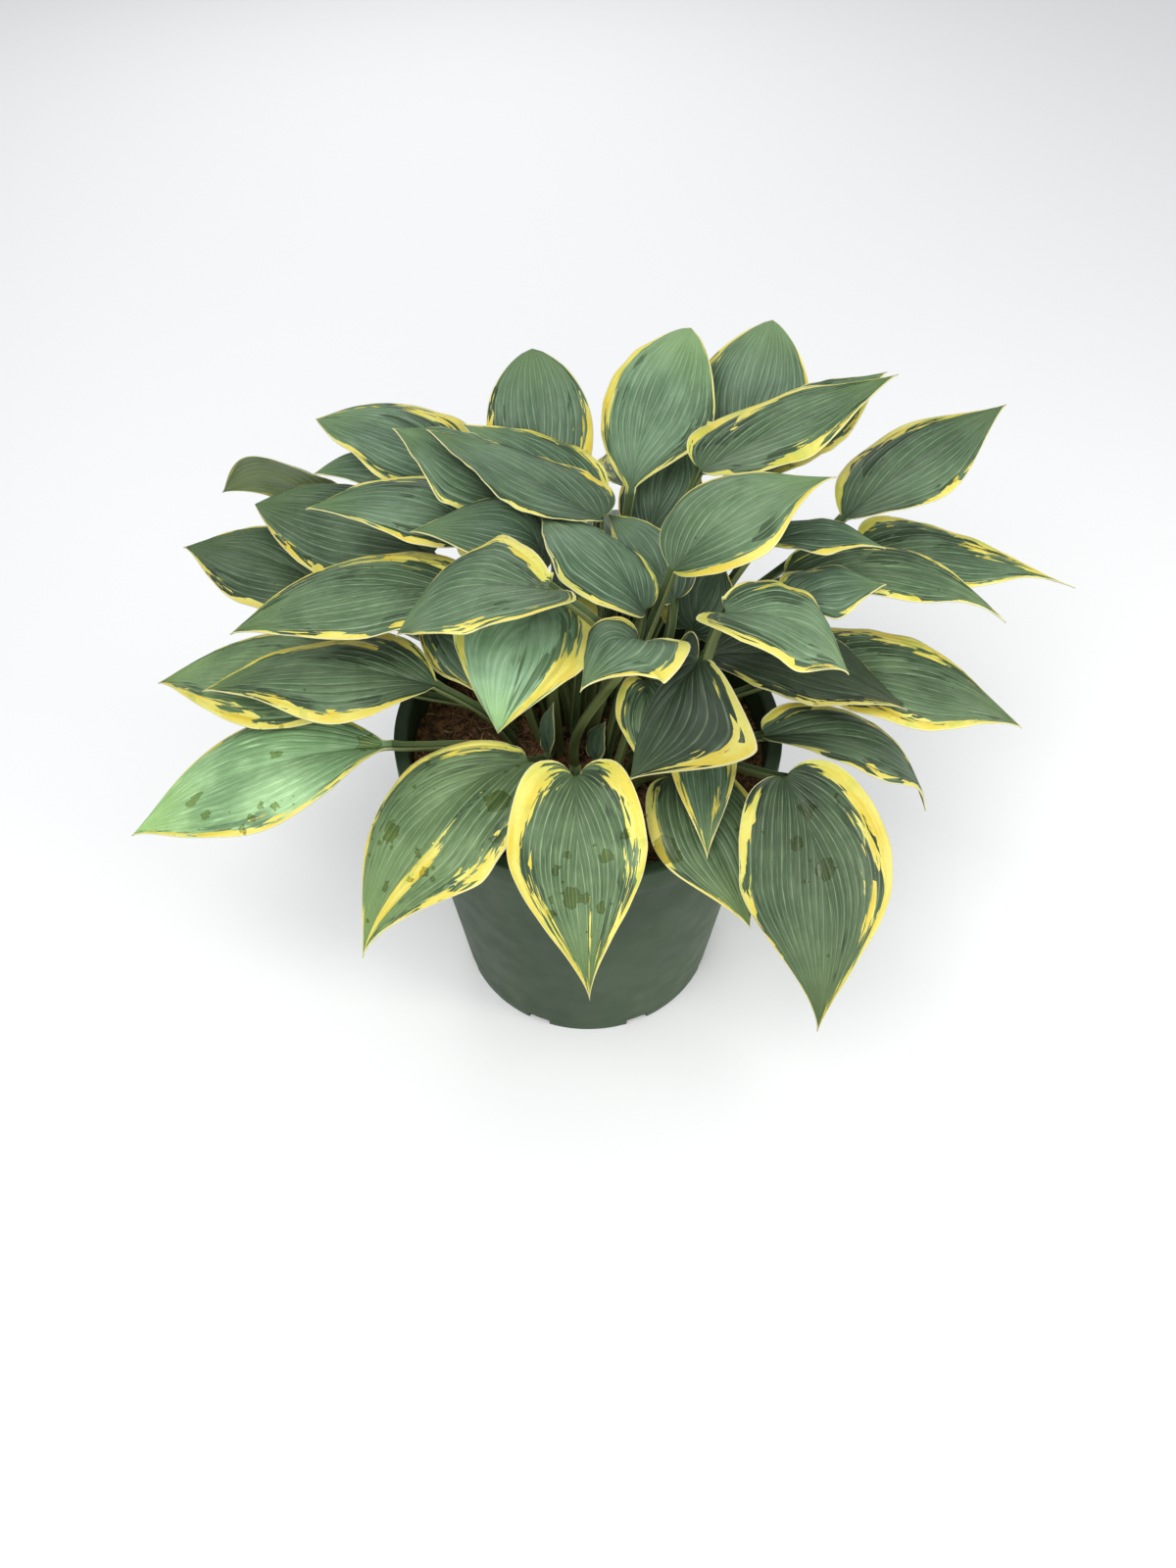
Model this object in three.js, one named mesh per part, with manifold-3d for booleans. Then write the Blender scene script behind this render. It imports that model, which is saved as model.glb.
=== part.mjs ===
// A potted hosta: a round nursery pot filled with compost, and a crown of
// variegated leaves, each one with the petiole that carries it.
//
// Millimetres, +Z up. The origin is the middle of the pot's base, on the ground;
// the crown spreads furthest along X, and the plant's open face looks along -Y.
//
// The pot is a lathe with drain notches cut through its bottom corner. The
// compost is a lathe with one plain hole for each petiole. A leaf is one closed
// loft: rings of ten points follow the petiole's curve up from the compost and
// go on along the blade's midrib, so that the petiole flattens into the blade.

import * as THREE from 'three';
import { mergeVertices } from 'three/addons/utils/BufferGeometryUtils.js';
import Module from 'manifold-3d';

const wasm = await Module();
wasm.setup();

// ---------------------------------------------------------------- dimensions

// pot
const POT_HEIGHT = 232;
const POT_SIDES = 48; // facets round the pot
const BASE_RADIUS = 95;
const WALL_TOP_RADIUS = 118; // just under the rim band
const WALL_THICKNESS = 2.6;
const FLOOR_THICKNESS = 3;
const RIM_RADIUS = 125;
const RIM_DEPTH = 18; // height of the rim band
const RIM_INNER_RADIUS = 116;
const NOTCH_COUNT = 8; // drain notches in the bottom corner
const NOTCH = { width: 16, depth: 12, height: 7 };

// compost
const SOIL_TOP = 210; // height at the pot's wall
const SOIL_CROWN = 211.5; // height in the middle
const SOIL_GAP = 0.3; // between compost and pot
const HOLE_RADIUS = 4.8; // hole for a petiole
const HOLE_SIDES = 8;
const HOLE_BOTTOM = 198.4;

// leaves
const ROOT_BOTTOM = 200; // petioles stand in the compost from here
const ROOT_TOP = 212; // straight up to here, then they curve
const BLADE_THICKNESS = 1;
const PETIOLE_WIDTH = 5.5;
const PETIOLE_HALF = PETIOLE_WIDTH * 0.62; // half the width of its channel
const PETIOLE_FOLD = 30; // degrees that each side of the channel rises
const WAVE_COUNT = 1.5; // ripples along a blade's edge
const LOBE_REACH = 0.33; // part of the midrib that the heart lobes run back from

// One leaf per entry. root is where the petiole's straight foot stands, in X and
// Y; neck is where the blade begins and tip is its point. Left out, a value is:
const LEAF = {
  width: 80, // greatest width of the blade
  bow: 16, // how far the midrib arches up
  crest: 0.45, // where along the blade it arches most
  sway: 0, // how far the midrib bends sideways
  roll: 0, // degrees that the blade is turned about its midrib
  fold: 25, // degrees that the two halves rise from the midrib
  curl: 0.35, // how strongly the edges turn down again
  heart: 0.3, // how far the two lobes at the neck reach back
  cup: 0, // how far those lobes rise
  ear: 0, // gives one lobe more of that reach and breadth, the other less
  base: 0.5, // 0.5 gives a round base, 1 and more one that narrows into the petiole
  widest: 0.36, // where along the blade it is widest
  taper: 1.25, // above 1 gives a drawn-out tip, below 1 a blunt one
  lop: 0, // makes one half broader than the other
  wave: 3, // height of the ripple along the edge
  lean: 0.35, // how far the petiole leaves the compost outwards
  follow: 0.5, // 1 brings the petiole in along the midrib, 0 straight from the root
};

const LEAVES = {
  // lowest leaves, spreading over the rim towards the front
  leaf_front_middle: { root: [-6, -46], neck: [-7, -93, 288], tip: [1, -183, 198], crest: 0.35,
    sway: 2, fold: 14, curl: 0.3, heart: 0.6, cup: 0.45, taper: 1.45 },
  leaf_front_left: { root: [-24, -29], neck: [-35, -70, 275], tip: [-133, -150, 190], width: 92,
    bow: 26, crest: 0.4, sway: 12, fold: 18, heart: 0.2, cup: 0.1, ear: -0.3, base: 0.55,
    widest: 0.45, taper: 1.4, lop: -0.15, lean: 0.1, follow: 0.1 },
  leaf_left_low: { root: [-42, -18], neck: [-120, -38, 252], tip: [-287, -67, 200], width: 94,
    bow: 20, fold: 22, heart: 0, base: 1.1, widest: 0.5, wave: 4 },
  leaf_front_right: { root: [49, -25], neck: [113, -80, 272], tip: [138, -177, 150], width: 96,
    bow: 18, crest: 0.35, sway: -9, fold: 14, curl: 0.3, heart: 0.35, cup: 0.2, ear: 0.1,
    widest: 0.4, taper: 1.35, follow: 0.1 },
  leaf_front_right_under: { root: [28, -36], neck: [53, -63, 250], tip: [94, -144, 212],
    width: 74, bow: 12 },
  // the middle of the crown, facing the front
  leaf_right_spear: { root: [36, -28], neck: [66, -37, 264], tip: [68, -119, 246], width: 48,
    bow: 10, fold: 38, curl: 0.1, heart: 0.2, widest: 0.25, lean: 0.9, follow: 0.1 },
  leaf_right_fold: { root: [26, -22], neck: [59, -64, 350], tip: [23, -103, 297], width: 60,
    bow: 8, fold: 10, heart: 0.6, cup: 0.9, ear: 0.5, base: 0.6, widest: 0.32, taper: 1.15,
    lop: -0.75, follow: 0.1 },
  leaf_middle_under: { root: [13, -44], neck: [34, -42, 310], tip: [30, -89, 290], width: 37,
    bow: 8, fold: 30, heart: 0.4 },
  leaf_centre_curl: { root: [-8, -18], neck: [26, -61, 360], tip: [-4, -94, 356], width: 54,
    fold: 20, curl: 0.4, heart: 0.6, cup: 0.45, ear: -0.2, widest: 0.3, taper: 1.4, lop: -0.3,
    follow: 0.1 },
  leaf_centre_heart: { root: [-18, -8], neck: [-28, -18, 343], tip: [-50, -76, 305], width: 84,
    bow: 20, fold: 20, heart: 0.7, cup: 0.3, widest: 0.25, taper: 1.05, lean: 0.1,
    follow: 0.2 },
  leaf_centre_left: { root: [3, -3], neck: [-20, -62, 397], tip: [-103, -51, 355], width: 78,
    fold: 18, heart: 0.9, cup: 0.35, ear: -0.7, widest: 0.5, lop: 0.25, lean: 0.1,
    follow: 0.6 },
  leaf_centre_arch: { root: [-19, 3], neck: [-26, 19, 342], tip: [-103, 29, 362], bow: 28,
    crest: 0.15, fold: 10, heart: 0.1, widest: 0.42, lean: 0.1, follow: 0.1 },
  // spreading to the left
  leaf_left_mid: { root: [-29, 2], neck: [-68, 6, 335], tip: [-217, 10, 300], width: 76,
    bow: 20, fold: 16, widest: 0.45 },
  leaf_left_wide: { root: [-46, -6], neck: [-91, -22, 288], tip: [-241, -1, 262], width: 76,
    bow: 18, fold: 16, heart: 0.1, base: 0.75, taper: 1.3, wave: 5 },
  leaf_left_under: { root: [-46, 6], neck: [-125, -2, 268], tip: [-290, 44, 224], width: 96,
    bow: 18, fold: 16, widest: 0.42, wave: 5 },
  leaf_left_far: { root: [-48, 22], neck: [-169, 91, 262], tip: [-281, 133, 268], width: 90,
    bow: 14, widest: 0.4, lean: 0.1, follow: 0.1 },
  leaf_left_shadow: { root: [-28, 29], neck: [-102, 87, 299], tip: [-230, 152, 290], roll: -15,
    taper: 0.9, lop: -0.3 },
  leaf_left_turned: { root: [-33, 41], neck: [-174, 155, 284], tip: [-262, 184, 277], width: 62,
    bow: 18, roll: 70, heart: 0.2, lean: 0.1, follow: 0.1 },
  // standing up and out to the back left
  leaf_upper_left_mid: { root: [-10, 12], neck: [-56, 51, 342], tip: [-170, 64, 352], width: 68,
    lean: 0.1, follow: 0.1 },
  leaf_upper_left_small: { root: [-19, 37], neck: [-107, 122, 330], tip: [-180, 130, 330],
    width: 34, bow: 10, roll: -20, heart: 0.2 },
  leaf_upper_left_far: { root: [-8, 28], neck: [-77, 115, 335], tip: [-174, 144, 362],
    width: 86, bow: 14, taper: 0.9 },
  leaf_upper_left_blue: { root: [-18, 22], neck: [-52, 69, 354], tip: [-116, 91, 390],
    width: 70, bow: 8, heart: 0.05, lean: 0.1, follow: 0.1 },
  leaf_upper_left_long: { root: [3, 10], neck: [7, 41, 362], tip: [-96, 90, 390], width: 76,
    bow: 5, roll: 15, heart: 0.4, lean: 0.1, follow: 0.1 },
  leaf_upper_left_back: { root: [-1, 21], neck: [6, 88, 332], tip: [-80, 127, 370], width: 70,
    bow: 8, heart: 0, lean: 0.1, follow: 0.1 },
  // tall leaves at the back
  leaf_back_round: { root: [-7, 40], neck: [-27, 112, 316], tip: [-36, 184, 388], width: 72,
    bow: 10, heart: 0.4, widest: 0.5, taper: 0.55 },
  leaf_back_tall: { root: [10, 29], neck: [27, 106, 332], tip: [65, 179, 405], width: 78,
    bow: 4, sway: -6, fold: 24, heart: 0.1, base: 1.4, widest: 0.48, taper: 0.6, lop: 0.12,
    wave: 4, lean: 0.1, follow: 0.1 },
  leaf_back_right_tall: { root: [28, 36], neck: [96, 141, 330], tip: [119, 198, 400], bow: 4,
    heart: 0.2, widest: 0.45, taper: 0.7, lean: 0.1, follow: 0.1 },
  leaf_back_right_long: { root: [16, 16], neck: [66, 66, 378], tip: [188, 130, 402], width: 66,
    bow: 4, widest: 0.3, taper: 1.3, lean: 0.1, follow: 0.1 },
  leaf_back_right_under: { root: [24, 27], neck: [98, 86, 360], tip: [190, 163, 384], width: 60,
    bow: 10 },
  leaf_centre_right_long: { root: [14, -6], neck: [48, 0, 358], tip: [140, 40, 392], width: 76,
    base: 0.9, widest: 0.32, taper: 1.5, lean: 0.1, follow: 0.1 },
  leaf_back_shade: { root: [14, 41], neck: [40, 101, 305], tip: [64, 157, 345], width: 60,
    bow: 6 },
  // small leaves down among the petioles
  leaf_centre_shade: { root: [21, 6], neck: [50, 12, 326], tip: [11, 62, 350], width: 50,
    bow: 12, heart: 0.2 },
  leaf_centre_twist: { root: [12, -16], neck: [31, -22, 348], tip: [-28, 36, 368], width: 70,
    roll: 20, heart: 0.2, lop: -0.3, lean: 0.1, follow: 0.1 },
  // spreading to the right
  leaf_right_top: { root: [34, 24], neck: [163, 94, 322], tip: [278, 177, 352], width: 72,
    bow: 8, heart: 0.2, base: 0.8, wave: 4 },
  leaf_right_long: { root: [42, 34], neck: [184, 115, 280], tip: [341, 116, 246], width: 74,
    bow: 10, widest: 0.3, taper: 2.4 },
  leaf_right_arch: { root: [49, 18], neck: [125, 56, 305], tip: [278, 67, 258], width: 58,
    bow: 24, taper: 1.5, lean: 0.1, follow: 0.1 },
  leaf_right_narrow: { root: [30, 13], neck: [102, 48, 338], tip: [182, 54, 330], width: 36,
    bow: 10, heart: 0.2, lean: 0.6, follow: 0.1 },
  leaf_right_small: { root: [40, 8], neck: [118, 21, 318], tip: [180, 30, 322], width: 50,
    bow: 4, heart: 0.2, lean: 0.6, follow: 0.1 },
  leaf_right_curl: { root: [38, -16], neck: [73, -47, 368], tip: [144, -54, 329], width: 68,
    bow: 15, heart: 0.9, cup: 0.35, ear: 0.6, widest: 0.4, lean: 0.9, follow: 0.1 },
  leaf_right_mid: { root: [34, 0], neck: [75, -13, 305], tip: [193, -27, 272], width: 72,
    lean: 0.1 },
  leaf_right_wide: { root: [53, 6], neck: [123, 7, 268], tip: [289, 14, 212], width: 92,
    bow: 22, wave: 4, follow: 0.1 },
  leaf_right_low: { root: [46, -6], neck: [108, -32, 254], tip: [231, -15, 160], width: 60,
    bow: 30, heart: 0.6, cup: 0.5, ear: 0.3 },
  // small leaves and new shoots near the soil
  leaf_dark_middle: { root: [26, -11], neck: [65, 27, 290], tip: [83, 53, 325], width: 60,
    bow: 10, lean: 0.9 },
  leaf_dark_small: { root: [-8, -1], neck: [-5, 20, 318], tip: [-22, 42, 340], width: 30,
    bow: 4, heart: 0.2, lean: 0.1 },
  leaf_left_edge: { root: [-36, 20], neck: [-98, 28, 290], tip: [-61, -10, 262], width: 40,
    bow: 8, heart: 0.2, lean: 0.1 },
  shoot_spear: { root: [-36, -28], neck: [-24, -18, 224], tip: [-21, -16, 268], width: 20,
    bow: 2, fold: 45, heart: 0, widest: 0.4 },
  shoot_fold: { root: [10, -34], neck: [6, -18, 218], tip: [11, -15, 250], width: 24, bow: 2,
    fold: 45, heart: 0, widest: 0.4, lean: 0.9, follow: 0.1 },
  // low leaves over the rim at the back
  leaf_back_low_middle: { root: [-1, 53], neck: [24, 120, 272], tip: [30, 236, 214], width: 78,
    fold: 14, heart: 0.4, follow: 0.1 },
  leaf_back_low_left: { root: [-23, 48], neck: [-44, 118, 264], tip: [-92, 226, 208], width: 64,
    fold: 14, heart: 0.4 },
  leaf_back_low_right: { root: [26, 46], neck: [62, 112, 285], tip: [122, 212, 238], width: 70,
    bow: 14, fold: 14, heart: 0.4 },
  leaf_back_left_mid: { root: [-42, 33], neck: [-93, 80, 252], tip: [-200, 150, 198], width: 62,
    fold: 14, heart: 0.4, lean: 0.6 },
  leaf_back_middle_mid: { root: [10, 52], neck: [30, 132, 318], tip: [48, 226, 282], width: 66,
    bow: 12, fold: 14, heart: 0.4, follow: 0.1 },
};

// ---------------------------------------------------------------- helpers

const UP = new THREE.Vector3(0, 0, 1);
const { sin, cos, abs, sign, max, min, PI } = Math;
const radians = THREE.MathUtils.degToRad;

/** A closed geometry as a manifold solid, its shared vertices merged. */
function toSolid(geometry) {
  const bare = geometry.clone();
  bare.deleteAttribute('normal');
  bare.deleteAttribute('uv');
  const merged = mergeVertices(bare, 1e-4);
  return new wasm.Manifold(new wasm.Mesh({
    numProp: 3,
    vertProperties: new Float32Array(merged.attributes.position.array),
    triVerts: new Uint32Array(merged.index.array),
  }));
}

/** The vertices and triangles of a manifold solid as a geometry. */
function toGeometry(solid) {
  const mesh = solid.getMesh();
  const geometry = new THREE.BufferGeometry();
  geometry.setAttribute('position', new THREE.BufferAttribute(mesh.vertProperties, 3));
  geometry.setIndex(new THREE.BufferAttribute(mesh.triVerts, 1));
  geometry.computeVertexNormals();
  return geometry;
}

/** A lathe about Z from [radius, height] pairs that start and end on the axis. */
function lathe(profile, sides) {
  const points = profile.map(([r, z]) => new THREE.Vector2(r, z));
  return new THREE.LatheGeometry(points, sides).rotateX(PI / 2);
}

/** The part of a that is at right angles to b, at unit length. */
function across(a, b) {
  return a.clone().addScaledVector(b, -a.dot(b)).normalize();
}

// ---------------------------------------------------------------- pot

function makePot() {
  const rimFoot = POT_HEIGHT - RIM_DEPTH;
  const slope = (WALL_TOP_RADIUS - BASE_RADIUS) / rimFoot;
  const inner = (z) => BASE_RADIUS + slope * z - WALL_THICKNESS;
  const shell = toSolid(lathe([
    [0, 0],
    [BASE_RADIUS, 0],
    [WALL_TOP_RADIUS, rimFoot],
    [RIM_RADIUS - 1, rimFoot],
    [RIM_RADIUS, rimFoot + 1.5],
    [RIM_RADIUS, POT_HEIGHT - 1.5],
    [RIM_RADIUS - 1.5, POT_HEIGHT],
    [RIM_INNER_RADIUS + 1, POT_HEIGHT],
    [RIM_INNER_RADIUS, POT_HEIGHT - 1.5],
    [inner(rimFoot), rimFoot - 2],
    [inner(FLOOR_THICKNESS), FLOOR_THICKNESS],
    [0, FLOOR_THICKNESS],
  ], POT_SIDES));

  let cut = shell;
  for (let i = 0; i < NOTCH_COUNT; i++) {
    const notch = new THREE.BoxGeometry(NOTCH.depth * 2, NOTCH.width, NOTCH.height * 2);
    notch.translate(BASE_RADIUS, 0, 0);
    notch.rotateZ(((i + 0.5) / NOTCH_COUNT) * 2 * PI);
    cut = cut.subtract(toSolid(notch));
  }
  return toGeometry(cut);
}

// ---------------------------------------------------------------- compost

function makeSoil(petioles) {
  const rimFoot = POT_HEIGHT - RIM_DEPTH;
  const slope = (WALL_TOP_RADIUS - BASE_RADIUS) / rimFoot;
  const reach = (z) => BASE_RADIUS + slope * z - WALL_THICKNESS - SOIL_GAP;
  const bottom = NOTCH.height + 0.3; // clear of the notches
  const fill = toSolid(lathe([
    [0, FLOOR_THICKNESS + SOIL_GAP],
    [BASE_RADIUS - NOTCH.depth - 1, FLOOR_THICKNESS + SOIL_GAP],
    [reach(bottom), bottom],
    [reach(SOIL_TOP), SOIL_TOP],
    [reach(SOIL_TOP) * 0.6, SOIL_CROWN],
    [0, SOIL_CROWN],
  ], POT_SIDES));

  const height = SOIL_CROWN + 8 - HOLE_BOTTOM;
  let holes = null;
  for (const { root, normal } of petioles) {
    const hole = new THREE.CylinderGeometry(HOLE_RADIUS, HOLE_RADIUS, height, HOLE_SIDES);
    hole.rotateX(PI / 2);
    // the petiole's section lies a little to one side of its channel's floor
    hole.translate(root[0] - normal.x * 0.6, root[1] - normal.y * 0.6, HOLE_BOTTOM + height / 2);
    const solid = toSolid(hole);
    holes = holes ? holes.add(solid) : solid;
  }
  return toGeometry(fill.subtract(holes));
}

// ---------------------------------------------------------------- leaves

// A ring runs over five stations on the upper face, from one edge (-1) through
// the midrib (0) to the other (1), and back over the same five underneath.
const STATIONS = [-1, -0.5, 0, 0.5, 1];
const PETIOLE_RINGS = [0.27, 0.55, 0.8];
const BLADE_RINGS = [0, 0.04, 0.12, 0.24, 0.38, 0.53, 0.68, 0.84, 1];

/** Half width of a blade at u along its midrib, as a part of the greatest. */
function outline(u, { widest, taper, base }) {
  if (u < widest) return max(0, 1 - ((widest - u) / widest) ** 2) ** base;
  return max(0, cos((PI / 2) * ((u - widest) / (1 - widest)))) ** taper;
}

/** The curves of a leaf's petiole and midrib, and its sideways direction. */
function makeCurves(leaf) {
  const root = new THREE.Vector3(leaf.root[0], leaf.root[1], ROOT_TOP);
  const neck = new THREE.Vector3(...leaf.neck);
  const tip = new THREE.Vector3(...leaf.tip);
  const chord = tip.clone().sub(neck);
  const along = chord.clone().normalize();
  const side = along.clone().cross(UP).normalize();
  const above = side.clone().cross(along);

  const peak = neck.clone().addScaledVector(chord, leaf.crest);
  peak.addScaledVector(above, 2 * leaf.bow).addScaledVector(side, 2 * leaf.sway);
  const midrib = new THREE.QuadraticBezierCurve3(neck, peak, tip);

  const reach = neck.distanceTo(root);
  const outward = new THREE.Vector3(root.x, root.y, 0);
  if (outward.length() > 1) outward.normalize();
  const grow = UP.clone().addScaledVector(outward, leaf.lean).normalize();
  const straight = neck.clone().sub(root).normalize();
  const smooth = peak.clone().sub(neck).normalize();
  const arrive = straight.lerp(smooth, leaf.follow).normalize();
  const petiole = new THREE.CubicBezierCurve3(
    root,
    root.clone().addScaledVector(grow, reach * 0.4),
    neck.clone().addScaledVector(arrive, -reach * 0.35),
    neck,
  );
  return { root, side, petiole, midrib };
}

/** Point, tangent, sideways and upward directions at t along a curve. */
function frameAt(curve, t, side, roll) {
  const centre = curve.getPoint(t);
  const tangent = tangentAt(curve, t);
  const s = across(side, tangent).applyAxisAngle(tangent, radians(roll));
  return { centre, tangent, s, n: s.clone().cross(tangent) };
}

/** The exact direction of a Bezier curve, from its control points. */
function tangentAt(curve, t) {
  const p = [curve.v0, curve.v1, curve.v2, curve.v3].filter(Boolean);
  let steps = p.slice(1).map((q, i) => q.clone().sub(p[i]));
  while (steps.length > 1) steps = steps.slice(1).map((q, i) => steps[i].clone().lerp(q, t));
  return steps[0].normalize();
}

/** The ten points of a ring: top from left to right, then underneath, back. */
function ringPoints(frame, shape) {
  const place = (v, face) => {
    const { x, back, top, bottom } = shape(v);
    return frame.centre.clone()
      .addScaledVector(frame.s, x)
      .addScaledVector(frame.tangent, -back)
      .addScaledVector(frame.n, face > 0 ? top : bottom);
  };
  return [
    ...STATIONS.map((v) => place(v, 1)),
    ...STATIONS.toReversed().map((v) => place(v, -1)),
  ];
}

/** The petiole's section at t: a channel with a rounded keel under it. */
function petioleShape(t) {
  const fold = radians(PETIOLE_FOLD);
  const keel = PETIOLE_WIDTH * 0.75 * (1 - 0.2 * t);
  return (v) => {
    const z = PETIOLE_HALF * abs(v) * sin(fold);
    return {
      x: PETIOLE_HALF * v * cos(fold),
      back: 0,
      top: z + BLADE_THICKNESS / 2,
      bottom: z - BLADE_THICKNESS / 2 - keel * (1 - v * v) ** 0.8,
    };
  };
}

/** The blade's section at u: two halves that rise, curl down and ripple. */
function bladeShape(leaf, u) {
  const part = outline(u, leaf);
  const flare = PETIOLE_HALF * max(0, 1 - 1.6 * u) + 0.5;
  const half = max((leaf.width / 2) * part, flare);
  const fold = radians(u > 0 ? leaf.fold * (1 - 0.55 * u) : PETIOLE_FOLD);
  const curl = leaf.curl * min(1, u / 0.2);
  const keel = PETIOLE_WIDTH * 0.6 * (1 - u) ** 2;
  const near = max(0, 1 - u / LOBE_REACH) ** 1.5;
  return (v) => {
    const w = v * (1 + leaf.lop * v);
    const ear = leaf.ear * sign(v);
    const lobe = (leaf.width / 2) * near * part * (1 + ear);
    const reach = half * (1 + ear * near * min(1, u / 0.04));
    const ripple = sin(2 * PI * WAVE_COUNT * u + (v > 0 ? 0 : 1.3));
    const z = reach * (abs(w) * sin(fold) - curl * v * v * (1 + leaf.lop * v))
      + (leaf.wave * part * ripple + leaf.cup * lobe) * v * v;
    return {
      x: reach * w * cos(fold),
      back: leaf.heart * lobe * abs(v) ** 1.3,
      top: z + BLADE_THICKNESS / 2,
      bottom: z - BLADE_THICKNESS / 2 - keel * (1 - v * v) ** 3,
    };
  };
}

/** Closes a stack of rings into one solid, split alike on both faces. */
function loft(rings) {
  const size = rings[0].length;
  const last = STATIONS.length - 1;
  const index = [];
  for (let i = 0; i + 1 < rings.length; i++) {
    for (let j = 0; j < size; j++) {
      const a = i * size + j;
      const b = i * size + ((j + 1) % size);
      const c = a + size;
      const d = b + size;
      if (j <= last || j === size - 1) index.push(a, b, d, a, d, c);
      else index.push(a, b, c, b, d, c);
    }
  }
  const end = (rings.length - 1) * size;
  for (let j = 0; j < last; j++) {
    const [a, b, c, d] = [j, j + 1, size - 1 - j, size - 2 - j];
    index.push(a, d, b, a, c, d);
    index.push(end + b, end + d, end + a, end + d, end + c, end + a);
  }
  const geometry = new THREE.BufferGeometry().setFromPoints(rings.flat());
  geometry.setIndex(index);
  geometry.computeVertexNormals();
  return geometry;
}

/** One leaf: its geometry, and where and which way its petiole stands. */
function makeLeaf(leaf) {
  const { root, side, petiole, midrib } = makeCurves(leaf);
  const foot = across(side, UP);
  const upright = { tangent: UP, s: foot, n: foot.clone().cross(UP) };
  const low = new THREE.Vector3(root.x, root.y, ROOT_BOTTOM);
  const rings = [
    ringPoints({ ...upright, centre: low }, petioleShape(0)),
    ringPoints({ ...upright, centre: root }, petioleShape(0)),
    ...PETIOLE_RINGS.map((t) =>
      ringPoints(frameAt(petiole, t, side, leaf.roll * t), petioleShape(t))),
    ...BLADE_RINGS.map((u) =>
      ringPoints(frameAt(midrib, u, side, leaf.roll), bladeShape(leaf, u))),
  ];
  return { geometry: loft(rings), normal: upright.n };
}

// ---------------------------------------------------------------- scene

const LOOKS = {
  pot: { color: 0x4a5a4c, roughness: 0.55, metalness: 0 },
  soil: { color: 0x3b2a1d, roughness: 0.95, metalness: 0 },
  leaf: { color: 0x6f9464, roughness: 0.5, metalness: 0 },
};

const plant = new THREE.Group();
plant.name = 'potted_hosta';

function addPiece(name, geometry, look) {
  const mesh = new THREE.Mesh(geometry, new THREE.MeshStandardMaterial(LOOKS[look]));
  mesh.name = name;
  plant.add(mesh);
}

const petioles = [];
for (const [name, entry] of Object.entries(LEAVES)) {
  const leaf = { ...LEAF, ...entry };
  const { geometry, normal } = makeLeaf(leaf);
  petioles.push({ root: leaf.root, normal });
  addPiece(name, geometry, 'leaf');
}
addPiece('soil', makeSoil(petioles), 'soil');
addPiece('pot', makePot(), 'pot');

export default plant;
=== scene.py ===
# %% [markdown]
# # A potted hosta
#
# A hosta is a rosette of broad leaves. Each leaf is one blade on one petiole, and
# all the petioles rise from the middle of the pot. The blade has parallel ribs
# that fan out from its neck and meet again at its tip, and on this plant the
# margin is creamy yellow and runs into the green in ragged streaks.
#
# A plant like this could be drawn with a few leaf pictures on flat cards, but then
# no leaf would have a real bend or edge. Here every leaf is a closed surface
# worked out from two curves, and its colours follow the same curves, so that the
# streaks run along the ribs as they do in nature.

# %% Load the frame
import math

import bmesh
import bpy
import numpy as np
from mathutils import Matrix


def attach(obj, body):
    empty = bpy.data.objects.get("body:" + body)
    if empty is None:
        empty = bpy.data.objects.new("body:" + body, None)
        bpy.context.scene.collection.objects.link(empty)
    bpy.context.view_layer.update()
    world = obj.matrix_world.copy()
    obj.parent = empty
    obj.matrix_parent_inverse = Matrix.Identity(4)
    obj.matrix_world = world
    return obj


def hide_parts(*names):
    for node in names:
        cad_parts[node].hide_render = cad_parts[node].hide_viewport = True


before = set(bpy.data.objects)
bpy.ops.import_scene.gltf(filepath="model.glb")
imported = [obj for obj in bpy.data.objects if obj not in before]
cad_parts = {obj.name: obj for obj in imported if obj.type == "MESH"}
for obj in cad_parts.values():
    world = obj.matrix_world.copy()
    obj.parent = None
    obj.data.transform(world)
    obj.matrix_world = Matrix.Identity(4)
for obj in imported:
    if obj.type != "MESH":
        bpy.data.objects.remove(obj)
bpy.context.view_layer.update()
MM = 0.001

# %% [markdown]
# ## Camera and light
#
# The plant is seen from above the front, as someone standing by a bench sees it.
# The lens is fairly wide because the eye is close. The light is a bright overcast
# sky: a pale world, a big soft panel overhead, a small one from the right, and weak
# ones in front and behind that open up the shade. Hard lamps would put glints on the
# leaves that a cloudy day doesn't.

# %% Camera and light
EYE = (0.0, -0.5183, 0.7878)
PITCH_BELOW_HORIZON = 49.96
LENS_MM = 27.0
SENSOR_MM = 36.0
PANELS = {  # where each one hangs, what it faces, its size, power and colour
    "sky_panel": ((-0.5, -0.9, 1.9), (0, 0, 0.25), 1.2, 22, (1, 1, 1)),
    "side_panel": ((1.7, -0.7, 0.6), (0, 0, 0.12), 0.6, 14, (1.0, 0.98, 0.94)),
    "back_panel": ((-0.3, 2.0, 1.3), (0, 0.5, 0), 1.0, 7, (1, 1, 1)),
    "front_panel": ((0.1, -1.8, 1.1), (0, 0, 0.3), 1.0, 8, (1, 1, 1)),
}
SKY_COLOUR = (0.93, 0.96, 1, 1)
SKY_STRENGTH = 0.6


def make_camera():
    """A camera at the eye, looking along +Y and down."""
    data = bpy.data.cameras.new("camera")
    data.lens = LENS_MM
    data.sensor_fit = "VERTICAL"
    data.sensor_height = SENSOR_MM
    data.clip_start = 0.01
    camera = bpy.data.objects.new("camera", data)
    camera.location = EYE
    camera.rotation_euler = (math.radians(90 - PITCH_BELOW_HORIZON), 0, 0)
    bpy.context.scene.collection.objects.link(camera)
    bpy.context.scene.camera = camera


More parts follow.
